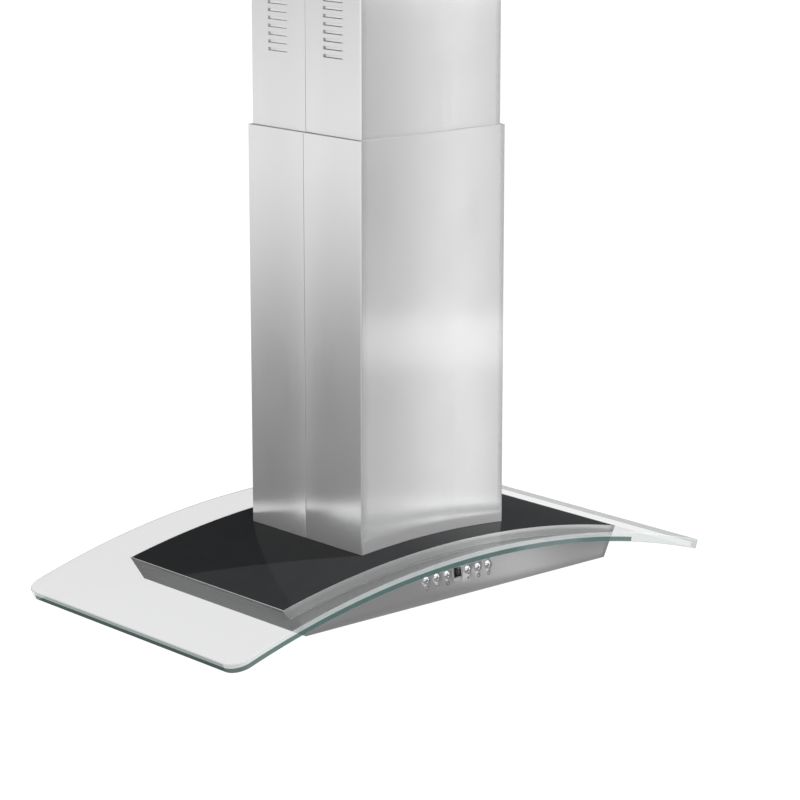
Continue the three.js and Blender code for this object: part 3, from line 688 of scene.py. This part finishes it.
def end_wall(name, node, side):
    """An end wall between the two long ones."""
    inset = SHEET + 0.3
    ys = spread(0, 1, 6)
    shares = wall_steps(HEAD_X)
    verts = []
    for t in shares:
        front = mixed(FOOT_FRONT, HEAD_FRONT, t) + inset
        rear = mixed(FOOT_REAR, HEAD_REAR, t) - inset
        x = side * mixed(FOOT_X, HEAD_X, t)
        verts += [(x, mixed(front, rear, v), mixed(BASE, head_z(HEAD_X), t)) for v in ys]
    faces = grid_faces(len(ys), len(shares), flip=side < 0)
    obj = mesh_object(name, verts, faces, [END_STEEL.material])
    solidify(obj, SHEET)
    bevel_edges(obj, WALL_EDGE, 60)
    return place(obj, "canopy", "stainless_body", node, sharp=30)


def top_cover():
    """The black arched cover, inset so that the walls' rim shows round it."""
    inset = SHEET + 0.25
    half = HEAD_X - inset
    xs = spread(-half, -OPENING_X, 24) + spread(-OPENING_X, OPENING_X, 20)[1:]
    xs += spread(OPENING_X, half, 24)[1:]
    ys = spread(HEAD_FRONT + inset, -OPENING_Y, 4) + [-OPENING_Y / 2, 0, OPENING_Y / 2]
    ys += spread(OPENING_Y, HEAD_REAR - inset, 4)
    verts = [(x, y, arch_z(x, COVER_LEVEL)) for y in ys for x in xs]

    def skip(i, j):
        return abs(xs[i] + xs[i + 1]) / 2 < OPENING_X and abs(ys[j] + ys[j + 1]) / 2 < OPENING_Y

    faces = grid_faces(len(xs), len(ys), skip)
    obj = mesh_object("black_top_cover", verts, faces, [BLACK_ENAMEL.material])
    solidify(obj, SHEET)
    return place(obj, "canopy", "black_cover", "top_cover", sharp=30)


def steel_body():
    long_wall("front_wall", "front_panel", FOOT_FRONT, HEAD_FRONT, -1, FRONT_STEEL)
    long_wall("rear_wall", "rear_panel", FOOT_REAR, HEAD_REAR, 1, FRONT_STEEL)
    end_wall("left_end_wall", "left_end_panel", -1)
    end_wall("right_end_wall", "right_end_panel", 1)
    top_cover()


# ---- glass ------------------------------------------------------------------------------

GLASS_CORNER = 25.0
ARRIS = 1.0
EDGE_SPLIT = 7.6
# Distance along the arch where the front edge's dark strips end and its pale painted-reflection strips
# begin.
DARK_EDGE_END = 301.0
GLASS_CHORD = GLASS_HIGH.x * ARCH_RADIUS / (ARCH_RADIUS + GLASS_THICKNESS)
GLASS_HALF = ARCH_RADIUS * math.asin(GLASS_CHORD / ARCH_RADIUS)
GLASS_DEPTH = (GLASS_HIGH.y - GLASS_LOW.y) / 2
GLASS_Y = (GLASS_HIGH.y + GLASS_LOW.y) / 2
HOLE_GROWTH = 0.5
GLASS_TONES = (
    GLASS, EDGE_ARRIS, EDGE_LOW, EDGE_HIGHLIGHT, EDGE_REFLECTION,
    EDGE_LINE, EDGE_DEEP_SHADED, EDGE_CLEAR, EDGE_END,
)


def glass_columns():
    """[s, half depth, edge normal angle] across the glass, and the first and last column of its hole."""
    straight = GLASS_HALF - GLASS_CORNER
    corner = [
        (straight + GLASS_CORNER * math.sin(a), GLASS_DEPTH - GLASS_CORNER * (1 - math.cos(a)), a)
        for a in spread(0, math.pi / 2, 14)
    ]
    hole = HEAD_X + HOLE_GROWTH - 6.0
    inner = spread(-hole, hole, 60)
    outer = spread(hole, straight, 8)[1:-1]
    right = [(s, GLASS_DEPTH, 0.0) for s in outer] + corner
    left = [(-s, half, -a) for s, half, a in reversed(right)]
    columns = left + [(s, GLASS_DEPTH, 0.0) for s in inner] + right
    return columns, (len(left), len(left) + len(inner) - 1)


def body_depths(x, level):
    """Front and rear of the body's walls over x at a level of the glass."""
    t = 1 - (COVER_LEVEL - level) / (head_z(min(abs(x), HEAD_X)) - BASE)
    return (
        mixed(FOOT_FRONT, HEAD_FRONT, t) - HOLE_GROWTH,
        mixed(FOOT_REAR, HEAD_REAR, t) + HOLE_GROWTH,
    )


def hole_half(level):
    """Distance along the arch to the end of the body's hole at a level."""
    t = 1 - (COVER_LEVEL - level) / (head_z(HEAD_X) - BASE)
    x = mixed(FOOT_X, HEAD_X, t) + HOLE_GROWTH
    return ARCH_RADIUS * math.asin(x / (ARCH_RADIUS + level))


def glass_sheet():
    """The bent glass: faces, ground arrises and a two-tone edge whose lighter upper band is a painted
    highlight, with paler strips to the right as a painted reflection and darker left-end strips as painted
    shade, and a hole for the body.
    """
    columns, (first, last) = glass_columns()
    levels = [
        (0.0, ARRIS), (ARRIS, 0.0), (EDGE_SPLIT, 0.0),
        (GLASS_THICKNESS - ARRIS, 0.0), (GLASS_THICKNESS, ARRIS),
    ]
    verts, index = [], {}

    def add(key, s, y, level):
        index[key] = len(verts)
        verts.append(arch_point(s, y, level))

    for n, (level, inset) in enumerate(levels):
        for k, (s, half, a) in enumerate(columns):
            along = s - inset * math.sin(a)
            depth = half - inset * math.cos(a)
            add((n, k, 0), along, GLASS_Y - depth, level)
            add((n, k, 3), along, GLASS_Y + depth, level)
    for n in (0, 4):
        level = levels[n][0]
        reach = hole_half(level)
        for k, (s, _, a) in enumerate(columns):
            along = s - levels[n][1] * math.sin(a)
            if k in (first, last):
                along = math.copysign(reach, s)
            front, rear = body_depths(arch_point(along, 0, level)[0], level)
            add((n, k, 1), along, front, level)
            add((n, k, 2), along, rear, level)
            if k in (first, last):
                for end in (0, 3):
                    y = verts[index[(n, k, end)]][1]
                    verts[index[(n, k, end)]] = arch_point(along, y, level)

    faces, kinds = [], []

    def quad(kind, *keys):
        faces.append(tuple(index[key] for key in keys))
        kinds.append(kind)

    for k in range(len(columns) - 1):
        in_hole = first <= k < last
        for band in (0, 1, 2):
            if band == 1 and in_hole:
                continue
            quad(0, (4, k, band), (4, k + 1, band), (4, k + 1, band + 1), (4, k, band + 1))
            quad(0, (0, k, band), (0, k, band + 1), (0, k + 1, band + 1), (0, k + 1, band))
        if in_hole:
            quad(0, (0, k, 1), (0, k + 1, 1), (4, k + 1, 1), (4, k, 1))
            quad(0, (0, k + 1, 2), (0, k, 2), (4, k, 2), (4, k + 1, 2))
        middle = (columns[k][0] + columns[k + 1][0]) / 2
        for n in range(4):
            quad(edge_kind(n, middle, -1), (n, k, 0), (n, k + 1, 0), (n + 1, k + 1, 0), (n + 1, k, 0))
            quad(edge_kind(n, middle, 1), (n, k + 1, 3), (n, k, 3), (n + 1, k, 3), (n + 1, k + 1, 3))
    end = len(columns) - 1
    for k, turn in ((0, 1), (end, -1)):
        for n in range(4):
            keys = [(n + 1, k, 0), (n + 1, k, 3), (n, k, 3), (n, k, 0)]
            if n == 0:
                keys = [(1, k, 0), (1, k, 3), (0, k, 3), (0, k, 2), (0, k, 1), (0, k, 0)]
            if n == 3:
                keys = [(4, k, 0), (4, k, 1), (4, k, 2), (4, k, 3), (3, k, 3), (3, k, 0)]
            quad(edge_kind(n, -turn * GLASS_HALF, 0), *keys[::turn])
    for k, turn in ((first, 1), (last, -1)):
        keys = [(4, k, 1), (4, k, 2), (0, k, 2), (0, k, 1)]
        quad(0, *keys[::-turn])
    materials = [finish.material for finish in GLASS_TONES]
    obj = mesh_object("glass_sheet", verts, faces, materials, kinds)
    return place(obj, "canopy", "clear_glass", "glass_canopy", sharp=25)


def edge_kind(n, s, side):
    """Place in GLASS_TONES of an edge strip; side is -1 at the front, 1 at the rear, 0 at the ends.
    Lighter upper strips are a painted highlight, pale and near-clear strips toward the right a painted
    reflection, darker left-end strips painted shade.
    """
    if side > 0 and s < GLASS_HALF - GLASS_CORNER:
        return 5 if n == 3 else 0
    if side >= 0 and s > 0:
        return 4 if n > 1 else 7
    if side > 0 or s > DARK_EDGE_END:
        return 4
    if n in (0, 3):
        return 1
    if side == 0:
        return 6 if n == 1 else 8
    return 2 if n == 1 else 3


def ring_under_glass(name, node, slot, finish, reach, low, high):
    """A band round the body under the glass, between two levels of the arch."""
    inner = hole_loop(low, high, -0.1)
    outer = hole_loop(low, high, reach - HOLE_GROWTH)
    loops = [inner[0], outer[0], outer[1], inner[1]]
    obj = mesh_object(name, *looped(loops), [finish.material])
    return place(obj, "canopy", slot, node, sharp=30)


def hole_loop(low, high, reach):
    """Two loops round the body at a reach from it, at a low and a high level."""
    loops = []
    for level in (low, high):
        half = hole_half(level) + reach
        xs = spread(-half, half, 48)
        front = [(s, body_depths(arch_point(s, 0, level)[0], level)[0] - reach) for s in xs]
        rear = [(s, body_depths(arch_point(s, 0, level)[0], level)[1] + reach) for s in reversed(xs)]
        loops.append([arch_point(s, y, level) for s, y in front + rear])
    return loops


# ---- controls ---------------------------------------------------------------------------

CONTROL_X = -4.5
CONTROL_Z = 34.0
CONTROL_PITCH = 20.0
CONTROL_SLOTS = (-3, -2, -1, 1, 2, 3)
SYMBOL_SCALE = 1.55
SYMBOL_DROP = 12.0
STROKE_LEVELS = (-0.05, 0.08)
LEAN = math.atan2(HEAD_FRONT - FOOT_FRONT, head_z(0) - BASE)


def on_front(x, z, out=0.0):
    """Matrix from a frame lying on the front face (x right, y up, z out) to the row frame."""
    height = CONTROL_Z
    origin = Vector((CONTROL_X, FOOT_FRONT + height * math.tan(LEAN), BASE + height))
    up = Vector((0, math.sin(LEAN), math.cos(LEAN)))
    outward = Vector((0, -math.cos(LEAN), math.sin(LEAN)))
    at = origin + Vector((x, 0, 0)) + up * z + outward * out
    return Matrix((
        (1, up.x, outward.x, at.x),
        (0, up.y, outward.y, at.y),
        (0, up.z, outward.z, at.z),
        (0, 0, 0, 1),
    ))


def control_cutters():
    """Cylinders and a block that open the front wall for the buttons and the window."""
    cutters = []
    for slot in CONTROL_SLOTS:
        ring = turned_mesh([(0, -6), (6.3, -6), (6.3, 6), (0, 6)], 48)
        cutters.append(helper(moved(ring, on_front(slot * CONTROL_PITCH, 0))))
    cutters.append(helper(moved(block_mesh(-7.1, 7.1, -7.3, 7.3, -6, 6), on_front(0, 0))))
    return cutters


def helper(part):
    obj = mesh_object("helper", *part, [FRONT_STEEL.material])
    tidy_mesh(obj.data, 30)
    return obj


def button(i, slot):
    """A push button with a domed crown."""
    profile = [
        (0, 3.0), (1.0, 2.94), (2.0, 2.76), (2.9, 2.46), (3.7, 2.04),
        (4.4, 1.54), (5.0, 0.98), (5.5, 0.4), (5.85, 0.0), (6.0, -0.3),
    ]
    profile += [(6.0, -1.6), (7.3, -1.65), (7.4, -1.75), (7.4, -3.0), (7.2, -3.1), (0, -3.1)]
    part = moved(turned_mesh(profile, 48), on_front(slot * CONTROL_PITCH, 0))
    obj = mesh_object(f"push_button_{i}", *part, [BUTTON_CHROME.material])
    return place(obj, f"button_{i}", "button_metal", f"button_{i}", sharp=40)


def window():
    """The smoked window with an unlit figure behind it and a thin bezel."""
    block = moved(block_mesh(-6.6, 6.6, -6.8, 6.8, -6.2, -0.25), on_front(0, 0))
    pane = mesh_object("window_pane", *block, [WINDOW.material])
    bevel_edges(pane, 0.3, 50)
    place(pane, "canopy", "display_window", "display_window")
    (hx, hy), (ix, iy), (z0, z1) = (7.8, 8.0), (6.75, 6.95), (0.03, 0.5)
    parts = [
        block_mesh(-hx, -ix, -hy, hy, z0, z1), block_mesh(ix, hx, -hy, hy, z0, z1),
        block_mesh(-ix, ix, -hy, -iy, z0, z1), block_mesh(-ix, ix, iy, hy, z0, z1),
    ]
    bezel = mesh_object("window_bezel", *moved(merged(parts), on_front(0, 0)), [BEZEL.material])
    bevel_edges(bezel, 0.12, 50)
    place(bezel, "canopy", "button_metal")
    bars = [(0, 4.0, 1.7, 0.4), (0, 0, 1.7, 0.4), (0, -4.0, 1.7, 0.4)]
    bars += [(sx * 2.2, sy * 2.0, 0.4, 1.5) for sx in (-1, 1) for sy in (-1, 1)]
    figure = merged([block_mesh(x - w, x + w, y - h, y + h, -0.24, -0.16) for x, y, w, h in bars])
    segments = mesh_object("window_segments", *moved(figure, on_front(0.4, 0)), [SEGMENT.material])
    place(segments, "canopy", "display_window")


def arc_strip(cx, cy, radius, width, start, stop, steps=20):
    """A flat curved stroke lying on the face."""
    verts, faces = [], []
    for a in spread(math.radians(start), math.radians(stop), steps):
        for r in (radius - width / 2, radius + width / 2):
            for z in STROKE_LEVELS:
                verts.append((cx + r * math.cos(a), cy + r * math.sin(a), z))
    for k in range(steps):
        a, b = 4 * k, 4 * k + 4
        faces += [
            (a, b, b + 1, a + 1), (a + 2, a + 3, b + 3, b + 2),
            (a + 1, b + 1, b + 3, a + 3), (a, a + 2, b + 2, b),
        ]
    last = 4 * steps
    faces += [(0, 1, 3, 2), (last, last + 2, last + 3, last + 1)]
    return verts, faces


def stroke(x0, y0, x1, y1, width=0.75):
    """A flat straight stroke lying on the face."""
    along = Vector((x1 - x0, y1 - y0, 0)).normalized()
    aside = Vector((-along.y, along.x, 0)) * width / 2
    start, stop = Vector((x0, y0, 0)), Vector((x1, y1, 0))
    ends = [start - aside, start + aside, stop + aside, stop - aside]
    verts = [(p.x, p.y, z) for z in STROKE_LEVELS for p in ends]
    faces = [(0, 1, 2, 3), (7, 6, 5, 4), (0, 4, 5, 1), (1, 5, 6, 2), (2, 6, 7, 3), (3, 7, 4, 0)]
    return verts, faces


def symbols():
    """Plain symbols under the buttons: lamp, minus, fan, plus, timer and power."""
    sketches = [
        [
            arc_strip(0, 0.5, 1.5, 0.7, -50, 230),
            stroke(-0.8, -1.4, 0.8, -1.4), stroke(-0.6, -2.1, 0.6, -2.1),
        ],
        [stroke(-1.7, 0, 1.7, 0)],
        [arc_strip(0, 0, 2.0, 0.7, 0, 360, 32)] + [
            stroke(0.3 * math.cos(a), 0.3 * math.sin(a), 1.5 * math.cos(a), 1.5 * math.sin(a))
            for a in (0.5, 2.6, 4.7)
        ],
        [stroke(-1.7, 0, 1.7, 0), stroke(0, 0.3, 0, 1.7), stroke(0, -0.3, 0, -1.7)],
        [
            arc_strip(0, 0, 1.9, 0.7, 0, 360, 32),
            stroke(0, 0, 0, 1.3, 0.55), stroke(0.3, 0, 1.0, 0, 0.55),
        ],
        [arc_strip(0, -0.1, 1.8, 0.7, 120, 420), stroke(0, 0.6, 0, 2.2)],
    ]
    parts = []
    for slot, sketch in zip(CONTROL_SLOTS, sketches):
        enlarge = Matrix.Diagonal((SYMBOL_SCALE, SYMBOL_SCALE, 1, 1))
        at = on_front(slot * CONTROL_PITCH, -SYMBOL_DROP)
        parts += [moved(part, at @ enlarge) for part in sketch]
    obj = mesh_object("control_symbols", *merged(parts), [INK.material])
    place(obj, "canopy", "black_plastic")


def controls():
    for i, slot in enumerate(CONTROL_SLOTS, 1):
        button(i, slot)
    window()
    symbols()


# ---- underside --------------------------------------------------------------------------


def rounded_frame(half_x, y0, y1, radius, z, steps=6):
    """Loop of points round a rectangle with rounded corners."""
    loop = []
    for cx, cy, start in ((half_x - radius, y0 + radius, -90), (half_x - radius, y1 - radius, 0),
                          (-half_x + radius, y1 - radius, 90), (-half_x + radius, y0 + radius, 180)):
        for a in spread(math.radians(start), math.radians(start + 90), steps):
            loop.append((cx + radius * math.cos(a), cy + radius * math.sin(a), z))
    return loop


def looped(loops):
    """A closed tube of quads through equal loops, the last joined to the first."""
    size = len(loops[0])
    verts = [p for loop in loops for p in loop]
    faces = []
    for j in range(len(loops)):
        following = (j + 1) % len(loops)
        for k in range(size):
            a, b = j * size + k, j * size + (k + 1) % size
            faces.append((a, b, following * size + (k + 1) % size, following * size + k))
    return verts, faces


BAFFLE_SHEET = 0.8
BAFFLE_WIDTH = 23.0
BAFFLE_PITCH = 38.4
RIM_WIDTH = 8.0
RIM_DEPTH = 16.0
BAFFLE_BURY = 1.0


def baffle(x, width, y0, y1, z, up):
    """A folded channel with turned-in sides, opening up or down."""
    half = width / 2
    side = 2.6 if up > 0 else -2.6
    inside = half - BAFFLE_SHEET
    floor_z = z + BAFFLE_SHEET * up
    ring = [(-half, z + side), (-half, z), (half, z), (half, z + side)]
    ring += [(inside, z + side), (inside, floor_z), (-inside, floor_z), (-inside, z + side)]
    verts = [(x + px, y, pz) for y in (y0, y1) for px, pz in ring]
    count = len(ring)
    faces = [(k, (k + 1) % count, count + (k + 1) % count, count + k) for k in range(count)]
    for start, order in ((0, 1), (count, -1)):
        for quad in ((0, 1, 6, 7), (1, 2, 5, 6), (2, 3, 4, 5)):
            faces.append(tuple(start + q for q in quad[::order]))
    return verts, faces


def filter_unit(name):
    """A baffle filter: a rounded folded rim round two staggered rows of channels."""
    low, high = box_mm(f"baffle_filter_{name}")
    centre = (low.x + high.x) / 2
    half = (high.x - low.x) / 2
    y0, y1, z0, z1 = low.y, high.y, BASE + 0.05, BASE + 10.0
    soft = 0.8
    loops = [
        rounded_frame(half - soft, y0 + soft, y1 - soft, 3.0, z0),
        rounded_frame(half, y0, y1, 3.5, z0 + soft),
        rounded_frame(half, y0, y1, 3.5, z1 - soft),
        rounded_frame(half - soft, y0 + soft, y1 - soft, 3.0, z1),
        rounded_frame(half - RIM_WIDTH, y0 + RIM_DEPTH, y1 - RIM_DEPTH, 1.0, z1),
        rounded_frame(half - RIM_WIDTH, y0 + RIM_DEPTH, y1 - RIM_DEPTH, 1.0, z0),
    ]
    shift = Matrix.Translation((centre, 0, 0))
    frame_obj = mesh_object(f"filter_rim_{name}", *moved(looped(loops), shift), [FILTER_STEEL.material])
    pocket = helper(moved(block_mesh(-15.3, 15.3, y0 - 3, -126.3, BASE - 3, BASE + 3.4), shift))
    cut(frame_obj, [pocket])
    place(frame_obj, f"filter_{name}", "filter_steel", f"baffle_filter_{name}", sharp=30)
    ends = y0 + RIM_DEPTH - BAFFLE_BURY, y1 - RIM_DEPTH + BAFFLE_BURY
    parts = [
        baffle(centre + (i - 2) * BAFFLE_PITCH, BAFFLE_WIDTH, *ends, BASE + 1.0, 1) for i in range(5)
    ]
    for i in range(6):
        width = BAFFLE_WIDTH if 0 < i < 5 else 14.0
        parts.append(baffle(centre + (i - 2.5) * BAFFLE_PITCH, width, *ends, BASE + 8.6, -1))
    bars = mesh_object(f"filter_baffles_{name}", *merged(parts), [FILTER_STEEL.material])
    place(bars, f"filter_{name}", "filter_steel", sharp=30)
    latch(name, centre)


def latch(name, centre):
    """The spring latch: a slider with a turned-down finger pull."""
    parts = [
        block_mesh(-14.8, 14.8, -142, -131.8, 0.35, 3.0),
        block_mesh(-7.4, 7.4, -143, -141.5, 0.9, 2.7),
        block_mesh(-11, 11, -133.8, -132.0, -2.1, 0.6),
    ]
    slider = moved(merged(parts), Matrix.Translation((centre, 0, BASE)))
    obj = mesh_object(f"latch_slider_{name}", *slider, [LATCH_STEEL.material])
    bevel_edges(obj, 0.3, 50)
    place(obj, f"latch_{name}", "latch_metal", f"filter_latch_{name}", sharp=40)


def lamp(corner):
    """A recessed lamp: turned cup with a polished bezel and a frosted lens."""
    low, high = box_mm(f"lamp_housing_{corner}")
    at = Matrix.Translation(((low.x + high.x) / 2, (low.y + high.y) / 2, BASE))
    profile = [
        (0, 22), (27, 22), (28, 21), (28, -0.3), (32.6, -0.3), (33, -0.6), (32.6, -1.2),
        (31.4, -1.7), (29.5, -1.9), (27.2, -1.8), (26.0, -1.3), (25.9, 20.4), (0, 20.4),
    ]
    turned = moved(turned_mesh(profile, 64), at)
    cup = mesh_object(f"lamp_cup_{corner}", *turned, [LAMP_CHROME.material])
    place(cup, "canopy", "lamp_trim", f"lamp_housing_{corner}", sharp=40)
    dome = [(0, -1.4), (12, -1.35), (20, -1.2), (24.6, -0.9), (25.5, -0.4), (25.5, 0.9), (0, 0.9)]
    lens = mesh_object(f"lamp_pane_{corner}", *moved(turned_mesh(dome, 64), at), [FROSTED.material])
    place(lens, "canopy", "lamp_lens", f"lamp_lens_{corner}", sharp=40)


def underside():
    for name in ("left", "right"):
        filter_unit(name)
    for corner in CORNERS:
        lamp(corner)


# ---- studio -----------------------------------------------------------------------------

FLOOR_Z = -1.75
FLOOR_HALF = 30000
WORLD_LEAST = 0.05
WORLD_SEEN = 1.05
CAMERA_AT = (-2.670758, -3.052219, 0.244207)
CAMERA_YAW = 0.727094
CAMERA_PITCH = 0.229924
FOCAL_PIXELS = 2850.996
IMAGE_SIDE = 800
SENSOR = 36.0
# Toward the light, irradiance, and apparent width in degrees.
SUN = ((0.516, -0.481, 0.707), 5.0, 1.5)


def camera():
    data = bpy.data.cameras.new("camera")
    data.sensor_width = SENSOR
    data.lens = FOCAL_PIXELS / IMAGE_SIDE * SENSOR
    data.clip_end = 100
    obj = bpy.data.objects.new("camera", data)
    obj.location = CAMERA_AT
    obj.rotation_euler = (math.pi / 2 - CAMERA_PITCH, 0, -CAMERA_YAW)
    bpy.context.scene.collection.objects.link(obj)
    bpy.context.scene.camera = obj


def floor():
    finish = Finish("pale_floor", (0.02, 0.02, 0.02), 0.85, Specular_IOR_Level=0.0)
    finish.set("Emission Color", (1.0, 1.0, 1.0, 1.0))
    finish.set("Emission Strength", 1.02)
    z = FLOOR_Z / MM
    verts = [(x * FLOOR_HALF, y * FLOOR_HALF, z) for x, y in ((-1, -1), (1, -1), (1, 1), (-1, 1))]
    obj = mesh_object("floor", verts, [(0, 1, 2, 3)], [finish.material])
    obj.visible_glossy = False


def world():
    """White surroundings for the camera, and a soft studio for what lights and mirrors them."""
    scene_world = bpy.data.worlds.new("studio")
    bpy.context.scene.world = scene_world
    scene_world.use_nodes = True
    nodes, links = scene_world.node_tree.nodes, scene_world.node_tree.links
    nodes.clear()
    coordinates = nodes.new("ShaderNodeTexCoord")
    total = None

    def lobe(direction, strength, inner, outer):
        """Light of a strength within an angle of a direction, fading out to an outer angle."""
        nonlocal total
        dot = nodes.new("ShaderNodeVectorMath")
        dot.operation = "DOT_PRODUCT"
        dot.inputs[1].default_value = Vector(direction).normalized()
        links.new(coordinates.outputs["Generated"], dot.inputs[0])
        fade = nodes.new("ShaderNodeMapRange")
        fade.interpolation_type = "SMOOTHSTEP"
        fade.inputs["From Min"].default_value = math.cos(math.radians(outer))
        fade.inputs["From Max"].default_value = math.cos(math.radians(inner))
        fade.inputs["To Max"].default_value = strength
        links.new(dot.outputs["Value"], fade.inputs["Value"])
        if total is None:
            total = fade.outputs["Result"]
            return
        add = nodes.new("ShaderNodeMath")
        add.operation = "ADD"
        links.new(total, add.inputs[0])
        links.new(fade.outputs["Result"], add.inputs[1])
        total = add.outputs[0]

    for args in LOBES:
        lobe(*args)
    separate = nodes.new("ShaderNodeSeparateXYZ")
    links.new(coordinates.outputs["Generated"], separate.inputs["Vector"])
    rise = nodes.new("ShaderNodeMapRange")
    rise.interpolation_type = "SMOOTHSTEP"
    for key, value in zip(("From Min", "From Max", "To Min", "To Max"), HORIZON):
        rise.inputs[key].default_value = value
    links.new(separate.outputs["Z"], rise.inputs["Value"])
    with_horizon = nodes.new("ShaderNodeMath")
    with_horizon.operation = "ADD"
    links.new(total, with_horizon.inputs[0])
    links.new(rise.outputs["Result"], with_horizon.inputs[1])
    floored = nodes.new("ShaderNodeMath")
    floored.operation = "MAXIMUM"
    floored.inputs[1].default_value = WORLD_LEAST
    links.new(with_horizon.outputs[0], floored.inputs[0])
    total = floored.outputs[0]
    studio = nodes.new("ShaderNodeBackground")
    studio.inputs["Color"].default_value = (1, 1, 1, 1)
    links.new(total, studio.inputs["Strength"])
    white = nodes.new("ShaderNodeBackground")
    white.inputs["Color"].default_value = (1, 1, 1, 1)
    white.inputs["Strength"].default_value = WORLD_SEEN
    path = nodes.new("ShaderNodeLightPath")
    mix = nodes.new("ShaderNodeMixShader")
    links.new(path.outputs["Is Camera Ray"], mix.inputs["Fac"])
    links.new(studio.outputs["Background"], mix.inputs[1])
    links.new(white.outputs["Background"], mix.inputs[2])
    output = nodes.new("ShaderNodeOutputWorld")
    links.new(mix.outputs["Shader"], output.inputs["Surface"])


# Sine of the elevation where the surroundings start and stop brightening, and both strengths.
HORIZON = (-0.238, -0.13, 0.33, 1.08)
# Direction, strength, and the angles of full and of no effect; a negative strength darkens.
LOBES = [
    ((0, -0.3, 1), 1.2, 15, 50),
    ((-0.544, 0.611, -0.574), -0.42, 20, 28.5),
    ((-0.437, 0.896, 0.087), -0.5, 7, 15),
    ((-0.663, 0.745, 0.087), -0.5, 7, 15),
    ((-0.837, 0.543, 0.087), -0.5, 7, 15),
    ((0.771, -0.602, 0.208), 1.7, 5, 14),
    ((0, -1, -0.05), -0.5, 12, 36),
    ((1, 0, -0.05), -0.5, 14, 34),
    ((0.65, -0.73, 0.0), -1.0, 18, 32),
    ((0.6, -0.67, -0.5), 0.75, 10, 22),
    ((0.66, 0.73, 0.12), -1.0, 25, 46),
]


def card(name, at, toward, width, height, radiance):
    """A soft rectangular light of a radiance, facing a point; lengths in metres."""
    data = bpy.data.lights.new(name, "AREA")
    data.shape = "RECTANGLE"
    data.size, data.size_y = width, height
    data.energy = radiance * math.pi * width * height
    obj = bpy.data.objects.new(name, data)
    obj.location = at
    obj.rotation_euler = (Vector(toward) - obj.location).to_track_quat("-Z", "Y").to_euler()
    obj.visible_camera = False
    bpy.context.scene.collection.objects.link(obj)


def cards():
    card("overhead_softbox", (-1.6, -2.4, 2.6), (0, 0, -0.6), 2.2, 1.6, 1.6)
    card("front_strip", (0.515, -0.632, -0.6), (0.062, -0.123, -0.5), 0.1, 1.0, 1.25)
    card("front_band", (0.78, -1.0, -0.846), (0, -0.123, -0.6), 1.2, 0.09, 0.3)
    card("front_top_band", (0.78, -1.0, -0.13), (0, -0.123, -0.1), 1.2, 0.2, 0.2)
    card("front_bounce", (0.42, -0.5, -1.0), (0.03, -0.12, -0.88), 0.35, 0.035, 0.35)
    card("left_bounce", (-0.39, 0.29, -0.958), (-0.137, 0, -0.85), 0.5, 0.03, 0.95)


def sun(toward_light, irradiance, spread_degrees):
    """A near-parallel light hidden from gloss; the chimney shades the cover's matt part from it."""
    data = bpy.data.lights.new("right_sun", "SUN")
    data.energy = irradiance
    data.angle = math.radians(spread_degrees)
    obj = bpy.data.objects.new("right_sun", data)
    obj.rotation_euler = Vector(toward_light).to_track_quat("Z", "Y").to_euler()
    obj.visible_camera = False
    obj.visible_glossy = False
    bpy.context.scene.collection.objects.link(obj)


camera()
finish_frame_nodes()
chimney()
steel_body()
glass_sheet()
ring_under_glass("ledge_ring", "glass_ledge", "stainless_body", END_STEEL, 1.4, -3.4, -1.9)
ring_under_glass("sealant_ring", "glass_seal", "glass_seal", SEALANT, 1.2, -1.6, -0.3)
controls()
underside()
floor()
world()
cards()
sun(*SUN)
bpy.context.scene.view_settings.view_transform = "Standard"
